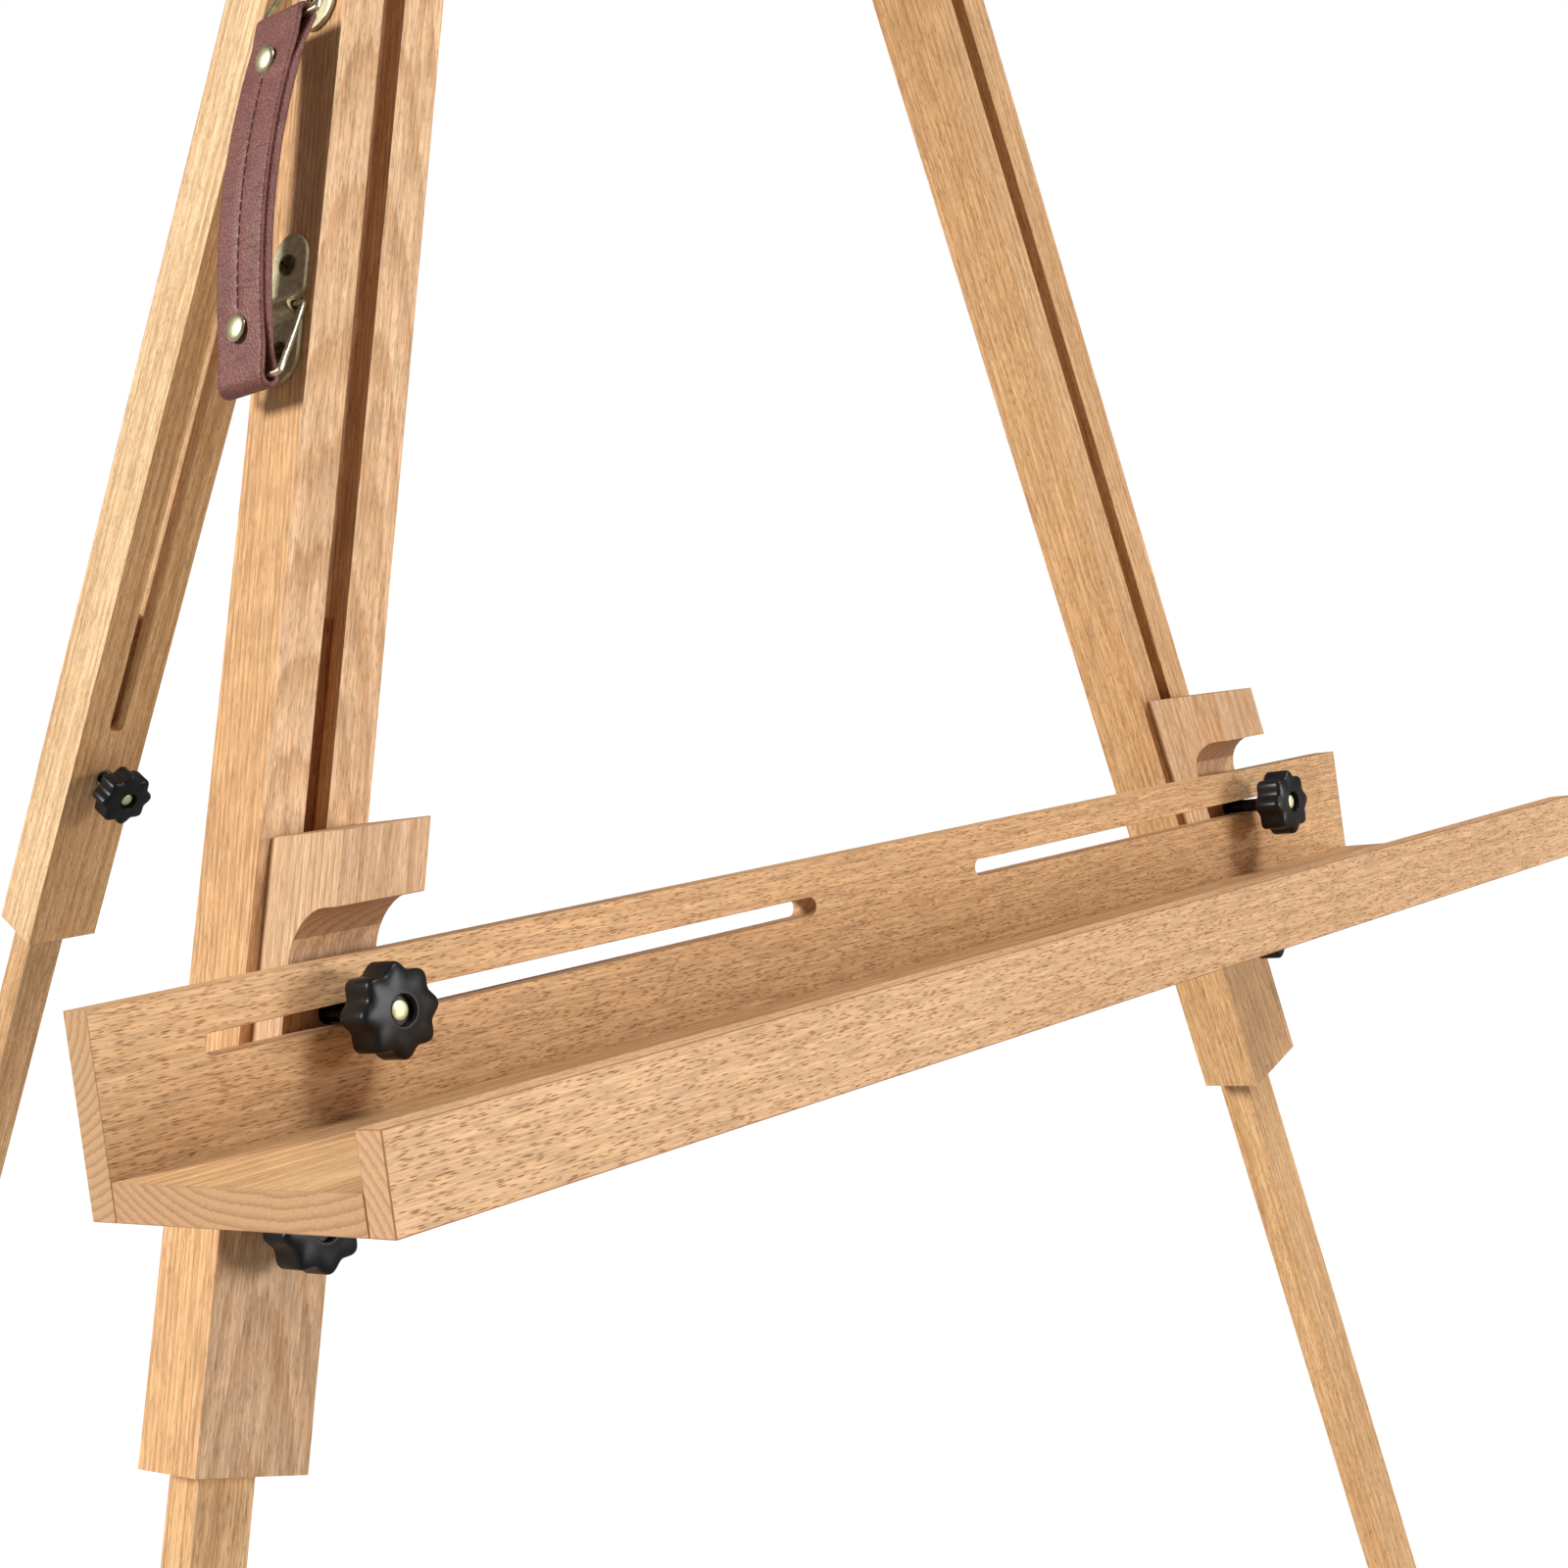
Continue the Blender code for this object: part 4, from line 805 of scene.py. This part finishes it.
WIRE_STANDOFF = 0.0018
LOOP_DROP = 0.0275
STRAP_STANDOFF = 0.0118
STRAP_BULGE = 0.0070
STRAP_WIDTH = 0.0226
STRAP_THICKNESS = 0.0052
OUTER_LAYER = 0.0018
EYE_CENTER = 0.0606
EYE_RADIUS = 0.0038
EYE_LAYER = 0.0021
GRIP_END = 0.0515
STRAP_END = 0.0605
RIVET_FROM_MIDDLE = 0.045
RIVET_RADIUS = 0.0046
PLATE_LENGTH = 0.050
PLATE_WIDTH = 0.0182
PLATE_THICKNESS = 0.0015
WAIST_DEPTH = 0.0034
WAIST_REACH = 0.0062
SCREW_SPACING = 0.0145
GAP = 0.0003
# the strap's section across, from its middle line to its edge
SECTION_STOPS = (0.0, 0.0006, 0.0012, 0.004, 0.0070, 0.0094)
UNDERSIDE_STOPS = (0.0094, 0.004, 0.0, -0.004, -0.0094)
STRAP_CORNER = 0.0009
SEAM_HALF_WIDTH = 0.0009
SEAM_DEPTH = 0.00045
STRAP_CROWN = 0.0002
LAYER_EASE = 0.012
STITCH_LENGTH = 0.0034
STITCH_PAUSE = 0.0005
STITCH_RADIUS = 0.00036
STITCH_SINK = 0.00022
STITCH_SIDES = 8
BRIDGE_OUTER = 0.0030
BRIDGE_INNER = 0.0016
BRIDGE_FILLET = 0.0016
BRIDGE_FOOT_RISE = 0.0018
PLATE_EDGE = 0.00025
SCREW_RADIUS = 0.0034
SCREW_RISE = 0.0015
SCREW_NECK_RADIUS = 0.0014
SCREW_TIP_RADIUS = 0.0006
SCREW_LENGTH = 0.007
CROSS_HALF_WIDTH = 0.00048
CROSS_REACH = 0.0021
CROSS_DEPTH = 0.0010


def handle_frame():
    lower_bar = joint_place("handle_swing")
    z = (joint_place("handle_loop_turn_upper") - lower_bar).normalized()
    y = -joint_axis("handle_swing")
    out = y.cross(z)
    middle = lower_bar + z * (STRAP_END - LOOP_DROP) - out * WIRE_STANDOFF
    turn = Matrix((out, y, z)).transposed().to_4x4()
    return Matrix.Translation(middle) @ turn


def strap_middle(z):
    """How far out of the leg the strap's middle line stands."""
    return STRAP_STANDOFF + STRAP_BULGE * cos(pi / 2 * min(abs(z) / STRAP_END, 1.0)) ** 0.9


def strap_path():
    """The closed band of leather: (x, z, thickness, is_outer, share of the way to an eye)."""
    half = STRAP_THICKNESS / 2
    inner_layer = STRAP_THICKNESS - OUTER_LAYER - 0.0001
    steps = 72
    heights = [GRIP_END * (2 * i / steps - 1) for i in range(steps + 1)]

    def layer(z, outer):
        ease = max(0.0, (abs(z) - GRIP_END + LAYER_EASE) / LAYER_EASE)
        ease = ease * ease * (3 - 2 * ease)
        thick = OUTER_LAYER if outer else inner_layer
        thick += (EYE_LAYER - thick) * ease
        if outer:
            x = strap_middle(z) + half - thick / 2
        else:
            x = strap_middle(z) - half + thick / 2
        return (x, z, thick, outer, ease)

    def eye(way):
        points = []
        for i in range(15):
            angle = pi * i / 14
            x = STRAP_STANDOFF + (EYE_RADIUS - EYE_LAYER / 2) * cos(angle)
            z = way * (EYE_CENTER + (EYE_RADIUS - EYE_LAYER / 2) * sin(angle))
            points.append((x, z, EYE_LAYER, True, 1.0))
        return points

    stations = [layer(z, True) for z in heights]
    stations += eye(1)
    stations += [layer(z, False) for z in reversed(heights)]
    stations += list(reversed(eye(-1)))
    return stations


def strap_section(thick, crown, seam):
    """The band's outline across: (y, out of its own middle line), round at its edges."""
    half = STRAP_WIDTH / 2
    edge = min(thick * 0.48, STRAP_CORNER)

    def corner(y_way, rise_way, first, last):
        center = (y_way * (half - edge), rise_way * (thick / 2 - edge))
        return rounded(center, edge, first, last, 3)

    points = []
    for y in [-stop for stop in SECTION_STOPS[:0:-1]] + list(SECTION_STOPS):
        swell = crown * cos(pi / 2 * y / half)
        groove = seam * max(0.0, 1 - abs(y) / SEAM_HALF_WIDTH)
        points.append((y, thick / 2 + swell - groove))
    points += corner(1, 1, 90, 0) + corner(1, -1, 0, -90)
    points += [(y, -thick / 2) for y in UNDERSIDE_STOPS]
    points += corner(-1, -1, 270, 180) + corner(-1, 1, 180, 90)
    return points


def make_strap(place):
    stations = strap_path()
    count = len(stations)
    rings = []
    for i, (x, z, thick, outer, ease) in enumerate(stations):
        before, after = stations[i - 1], stations[(i + 1) % count]
        along = Vector((after[0] - before[0], 0, after[1] - before[1])).normalized()
        out = Vector((along.z, 0, -along.x))
        seam = 0.0
        crown = 0.0
        if outer and ease < 1.0:
            crown = STRAP_CROWN * (1 - ease)
            seam = SEAM_DEPTH if abs(z) < RIVET_FROM_MIDDLE - RIVET_RADIUS - 0.0006 else 0.0
        section = strap_section(thick, crown, seam)
        rings.append([(x + out.x * rise, y, z + out.z * rise) for y, rise in section])
    look = leather("maroon_leather", (0.165, 0.047, 0.037), (0.280, 0.107, 0.082))
    strap = object_from(rings_mesh(rings, closed=True), "handle_strap_leather", place, look, 60)
    settle(strap, "handle", "leather", "handle_strap")

    # a row of dark red thread, sunk in the seam
    work = bmesh.new()
    z = -RIVET_FROM_MIDDLE + 0.0062
    while z + STITCH_LENGTH < RIVET_FROM_MIDDLE - 0.0058:
        ends = [Vector((strap_middle(h) + STRAP_THICKNESS / 2 - STITCH_SINK, 0, h))
                for h in (z, z + STITCH_LENGTH)]
        add_stitch(work, ends[0], ends[1], STITCH_RADIUS)
        z += STITCH_LENGTH + STITCH_PAUSE
    stitches = object_from(work, "handle_strap_stitches", place,
                           thread("red_thread", (0.13, 0.010, 0.014)), 60)
    settle(stitches, "handle", "leather")


def add_stitch(work, start, end, radius):
    """One stitch: a short thread that dips into the leather at both its ends."""
    rings = []
    along = (end - start).normalized()
    out = Vector((along.z, 0, -along.x))
    side = Vector((0, 1, 0))
    for share in (0.0, 0.08, 0.25, 0.5, 0.75, 0.92, 1.0):
        lift = radius * (1.0 - (2 * share - 1) ** 4) * 0.9 - radius * 0.5
        middle = start.lerp(end, share) + out * lift
        size = radius * (0.55 if share in (0.0, 1.0) else 1.0)
        rings.append([
            work.verts.new(middle + (out * cos(a) + side * sin(a)) * size)
            for a in (2 * pi * i / STITCH_SIDES for i in range(STITCH_SIDES))
        ])
    join_loops(work, rings)
    work.faces.new(list(reversed(rings[0])))
    work.faces.new(rings[-1])


def make_rivet(which, way, place):
    """A domed cap on the strap's outside, its shank, and a flat cap inside."""
    z = way * RIVET_FROM_MIDDLE
    out = strap_middle(z)
    half = STRAP_THICKNESS / 2 + 3 * GAP
    r = RIVET_RADIUS
    profile = [(0.0004, -half - 0.0008), (0.0028, -half - 0.0008), (0.0033, -half - 0.0005),
               (0.0034, -half), (0.0016, -half), (0.0016, half - 0.0003),
               (r - 0.0004, half - 0.0003), (r, half), (r - 0.0001, half + 0.0003)]
    profile += [(r * cos(radians(a)) * 0.97, half + 0.0003 + 0.00115 * sin(radians(a)))
                for a in (15, 30, 45, 60, 75, 86)]
    here = place @ Matrix.Translation((out, 0, z)) @ Matrix.Rotation(-pi / 2, 4, "Z")
    obj = object_from(turned(profile, 40), f"handle_rivet_{which}_domed", here, RIVET_LOOK, 40)
    settle(obj, "handle", "old_brass", f"handle_rivet_{which}")


def plate_outline_half(z):
    """Half the plate's width at z from its middle: round ends, and a waist at the bridge."""
    r = PLATE_WIDTH / 2
    straight = PLATE_LENGTH / 2 - r
    half = r if abs(z) <= straight else sqrt(max(0.0, r * r - (abs(z) - straight) ** 2))
    if abs(z) < WAIST_REACH:
        half -= WAIST_DEPTH * (0.5 + 0.5 * cos(pi * z / WAIST_REACH))
    return max(half, 0.0004)


def arch(z, radius):
    """How high a round arch over the wire's bar stands at z."""
    return sqrt(radius * radius - z * z)


def sheet_rim(rows):
    """The vertices round a sheet's edge, from its rows."""
    return ([row[-1] for row in rows] + list(reversed(rows[-1]))[1:]
            + [row[0] for row in reversed(rows)][1:] + rows[0][1:-1])


def make_plate(which, way, place):
    """A stamped plate: a thin sheet with a round bridge pressed up across its middle."""
    outer, inner = BRIDGE_OUTER, BRIDGE_INNER
    foot = outer + BRIDGE_FILLET
    columns = [-1, -0.93, -0.8, -0.5, 0, 0.5, 0.8, 0.93, 1]
    # rows close together at the round ends, and across the bridge and its waist
    zs = sorted(set(
        [round(PLATE_LENGTH / 2 * (1 - cos(pi * i / 40)) - PLATE_LENGTH / 2, 6)
         for i in range(41)]
        + [round(WAIST_REACH * (2 * i / 36 - 1), 6) for i in range(37)]
    ))
    work = bmesh.new()
    top, bottom = [], []
    for z in zs:
        half = plate_outline_half(z)
        bridge = WIRE_STANDOFF + arch(z, outer) if abs(z) < outer else 0.0
        slope = GAP + PLATE_THICKNESS
        if abs(z) < foot:
            slope += (1 - (abs(z) / foot) ** 2) * BRIDGE_FOOT_RISE
        rise = max(bridge, slope)
        under = GAP
        if abs(z) < inner:
            under = max(GAP, WIRE_STANDOFF + arch(z, inner))
        top.append([work.verts.new((rise - (PLATE_EDGE if abs(c) == 1 else 0.0), c * half, z))
                    for c in columns])
        bottom.append([work.verts.new((under, c * half, z)) for c in columns])
    for sheet, flip in ((top, False), (bottom, True)):
        for lower, upper in zip(sheet, sheet[1:]):
            for i in range(len(columns) - 1):
                quad = (lower[i], lower[i + 1], upper[i + 1], upper[i])
                work.faces.new(quad[::-1] if flip else quad)
    join_loops(work, [sheet_rim(top), sheet_rim(bottom)])
    here = place @ Matrix.Translation((0, 0, way * STRAP_END + LOOP_DROP))
    obj = object_from(work, f"handle_plate_{which}_stamped", here, PLATE_LOOK, 40)
    settle(obj, "leg_left", "old_brass", f"handle_plate_{which}")


def make_screw(node, z, place, turn):
    """A round-headed cross-slot screw, its shank hidden in the leg."""
    seat = 2 * GAP + PLATE_THICKNESS
    work = bmesh.new()
    radius, rise = SCREW_RADIUS, SCREW_RISE
    sides, steps = 64, 12
    rings = []
    for s in range(1, steps + 1):
        r = radius * s / steps
        ring = []
        for i in range(sides):
            a = 2 * pi * i / sides
            y, h = r * cos(a), r * sin(a)
            dome = rise * sqrt(max(0.0, 1 - (r / (radius * 1.04)) ** 2))
            near = min(abs(y), abs(h))
            in_slot = max(0.0, 1 - near / CROSS_HALF_WIDTH) if r < CROSS_REACH else 0.0
            depth = min(1.0, in_slot * 2.2) * CROSS_DEPTH
            ring.append(work.verts.new((seat + max(dome - depth, 0.0001), y, h)))
        rings.append(ring)
    center = work.verts.new((seat + rise - CROSS_DEPTH, 0, 0))
    for i in range(sides):
        work.faces.new((center, rings[0][i], rings[0][(i + 1) % sides]))
    rings.append([work.verts.new((seat, *vertex.co.yz)) for vertex in rings[-1]])
    for shank_radius, x in ((SCREW_NECK_RADIUS, seat), (SCREW_TIP_RADIUS, -SCREW_LENGTH)):
        [shank] = circles([(shank_radius, x)], sides)
        rings.append([work.verts.new((x, side, rise)) for side, _, rise in shank])
    join_loops(work, rings)
    work.faces.new(rings[-1])
    here = place @ Matrix.Translation((0, 0, z)) @ Matrix.Rotation(turn, 4, "X")
    obj = object_from(work, f"{node}_cross", here, SCREW_LOOK, 30)
    settle(obj, "leg_left", "old_brass", node)


def make_loop(which, joint, place):
    """The wire loop: its CAD ring, with rounder wire."""
    node = f"handle_loop_{which}"
    here = place.copy()
    here.translation = joint_place(joint)
    work = cad_copy(node, here)
    obj = object_from(work, f"{node}_wire", here, WIRE_LOOK, 60)
    modifier = obj.modifiers.new("round", "SUBSURF")
    modifier.levels = 1
    modifier.render_levels = 1
    settle(obj, node, "old_brass", node)


# ---- the easel ----

make_camera()
make_studio()

DISC_LOOK = metal("pale_brass", (0.62, 0.60, 0.36), (0.85, 0.84, 0.60),
                  roughness=0.5, seed=3.1, tarnish=0.6)
RIVET_LOOK = metal("rivet_brass", (0.50, 0.44, 0.25), (0.80, 0.74, 0.50),
                   roughness=0.28, seed=1.7, tarnish=0.6)
PLATE_LOOK = metal("plate_brass", (0.42, 0.36, 0.19), (0.70, 0.64, 0.42),
                   roughness=0.40, seed=2.3, tarnish=1.0, metallic=0.6)
WIRE_LOOK = metal("wire_brass", (0.42, 0.37, 0.22), (0.80, 0.75, 0.56),
                  roughness=0.26, seed=4.9, tarnish=0.5)
SCREW_LOOK = metal("screw_brass", (0.06, 0.045, 0.022), (0.17, 0.13, 0.065),
                   roughness=0.40, seed=5.3, tarnish=0.8)
INSERT_LOOK = metal("insert_brass", (0.40, 0.30, 0.13), (0.62, 0.50, 0.26),
                    roughness=0.40, seed=6.1, tarnish=0.6)
STEEL_LOOK = metal("blackened_steel", (0.012, 0.012, 0.013), (0.035, 0.034, 0.033),
                   roughness=0.38, seed=7.7, tarnish=0.5)
ZINC_LOOK = metal("zinc_plate", (0.48, 0.48, 0.47), (0.70, 0.70, 0.68),
                  roughness=0.34, seed=8.5, tarnish=0.6)

LEG_BEECH = {
    "left": beech("beech_leg_left", 1.0, (0.000, 0.055), (0.0, 0.050), 0.0019,
                  (1.07, 1.09, 1.15), side=(0.93, 0.85, 0.72), rays=0.8, figure=0.06,
                  contrast=1.7, streaks=0.6),
    "right": beech("beech_leg_right", 2.0, (-0.060, 0.045), (0.0, 0.01), 0.0026,
                   (0.93, 0.88, 0.79), side=(0.98, 0.97, 0.95), rays=1.0, figure=0.03,
                   contrast=1.3, streaks=0.5),
    # the rear leg's side tint is painted light: it makes the sides that face the left lamp far
    # lighter and paler than the fronts
    "rear": beech("beech_leg_rear", 3.0, (0.050, -0.080), (0.01, 0.0), 0.0032,
                  (0.97, 0.88, 0.74), side=(1.19, 1.44, 1.80), rays=0.9, figure=0.03,
                  contrast=1.3, streaks=1.0),
}
LOWER_BEECH = {
    # the lower left leg's tone is painted light on its fronts, which the tray shades; its side
    # tint takes that back off its sides
    "left": beech("beech_lower_left", 4.0, (0.02, 0.090), (0.0, 0.02), 0.0026,
                  (1.10, 1.05, 0.93), side=(0.84, 0.82, 0.81)),
    "right": beech("beech_lower_right", 5.0, (-0.09, 0.02), (0.0, 0.01), 0.0030,
                   (0.95, 0.90, 0.80)),
    "rear": beech("beech_lower_rear", 6.0, (0.06, 0.06), (0.01, 0.0), 0.0028,
                  (0.92, 0.88, 0.80)),
}
for side, node in (("left", "front_leg_left"), ("right", "front_leg_right"), ("rear", "rear_leg")):
    board(node, f"leg_{side}", LEG_BACKWARD[side], LEG_UP[side], LEG_BEECH[side])
for side in ("left", "right", "rear"):
    board(f"lower_leg_{side}", f"lower_leg_{side}", LEG_BACKWARD[side], LEG_UP[side],
          LOWER_BEECH[side], edge=0.0005)

# the tray's boards run across: their z is the easel's x
board("tray_back", "tray", BACKWARD, ACROSS,
      beech("beech_tray_back", 7.0, (-0.035, 0.020), (0.004, 0.0), 0.0028, (0.90, 0.88, 0.83),
            rays=1.45, contrast=0.6, seam=0.45, streaks=0.35),
      edge=0.0004, slot="beech_tray")
board("tray_floor", "tray", BACKWARD, ACROSS,
      beech("beech_tray_floor", 8.0, (-0.115, -0.020), (0.0, 0.002), 0.0030, (1.04, 1.04, 1.00),
            rays=0.6, contrast=1.5, seam=0.45, end=(0.75, 0.69, 0.67)),
      edge=0.00035, slot="beech_tray")
board("tray_front", "tray", BACKWARD, ACROSS,
      beech("beech_tray_front", 9.0, (0.03, 0.035), (0.004, 0.0), 0.0030, (1.0, 0.96, 0.95),
            rays=1.5, contrast=0.6, seam=0.75, streaks=0.4),
      edge=0.0004, slot="beech_tray")

for side, seed in (("left", 10.0), ("right", 11.0)):
    # the brackets' end tint is painted shade: far darker than other boards' end grain, it darkens
    # the hollow under each bracket's lip, whose arc counts as end grain
    look = beech(f"beech_bracket_{side}", seed, (0.05, 0.12), (0.0, 0.0), 0.0024,
                 (0.92, 0.95, 1.03), rays=0.6, contrast=1.3, seam=0.3,
                 end=(0.60, 0.55, 0.50))
    board(f"bracket_{side}", f"bracket_{side}", BACKWARD, LEG_UP[side], look, edge=0.0005)

board("head_block", "head", BACKWARD, PLANE_UP,
      beech("beech_head", 12.0, (0.03, 0.09), (0.01, 0.01), 0.0030, (0.99, 0.98, 0.96)),
      edge=0.0010)
board("mast", "mast", BACKWARD, PLANE_UP,
      beech("beech_mast", 13.0, (0.05, 0.03), (0.0, 0.01), 0.0026, (1.0, 0.99, 0.97)))
board("top_clamp", "top_clamp", BACKWARD, PLANE_UP,
      beech("beech_clamp", 14.0, (0.06, 0.08), (0.0, 0.0), 0.0026, (1.0, 1.0, 1.0), rays=0.5))

for side, seed in (("left", 0.3), ("right", 0.5)):
    make_knob(f"tray_knob_{side}", f"tray_knob_turn_{side}", seed)
for side, seed in (("left", 0.7), ("right", 0.9), ("rear", 1.1)):
    make_knob(f"leg_knob_{side}", f"leg_knob_turn_{side}", seed)
    make_bolt(f"leg_knob_bolt_{side}", f"leg_knob_{side}", f"leg_knob_turn_{side}")
for name, seed in (("mast", 1.3), ("clamp", 1.5)):
    make_knob(f"{name}_knob", f"{name}_knob_turn", seed)
    make_bolt(f"{name}_knob_bolt", f"{name}_knob", f"{name}_knob_turn")
for side, body in (("left", "tray_pivot"), ("right", "bracket_right")):
    make_bolt(f"tray_bolt_{side}", body, f"tray_knob_turn_{side}", TRAY_BOLT_HEAD)

for side in ("left", "right"):
    make_pivot_set(f"pivot_bolt_{side}", f"pivot_nut_{side}", joint_place(f"leg_fold_{side}"),
                   BACKWARD)
make_pivot_set("rear_hinge_bolt", "rear_hinge_nut", joint_place("rear_leg_fold"), ACROSS)

for side in ("left", "right", "rear"):
    for slot in frame["nodes"][f"leg_insert_{side}"].material_slots:
        slot.material = INSERT_LOOK
    place = Matrix.Translation(box_middle(f"foot_{side}"))
    work = cad_copy(f"foot_{side}", place)
    ease_edges(work, 0.0008, 2, 30)
    boot = object_from(work, f"foot_{side}_boot", place, rubber(f"black_rubber_{side}"), 40)
    weigh_normals(boot)
    settle(boot, f"lower_leg_{side}", "rubber", f"foot_{side}")

HANDLE = handle_frame()
make_strap(HANDLE)
for which, way in (("lower", -1), ("upper", 1)):
    make_plate(which, way, HANDLE)
    make_rivet(which, way, HANDLE)
    bar = "handle_swing" if which == "lower" else "handle_loop_turn_upper"
    make_loop(which, bar, HANDLE)
    for end, offset, turn in (("a", -SCREW_SPACING, 0.35), ("b", SCREW_SPACING, 0.9)):
        make_screw(f"handle_screw_{which}_{end}", way * STRAP_END + LOOP_DROP + offset, HANDLE,
                   turn)
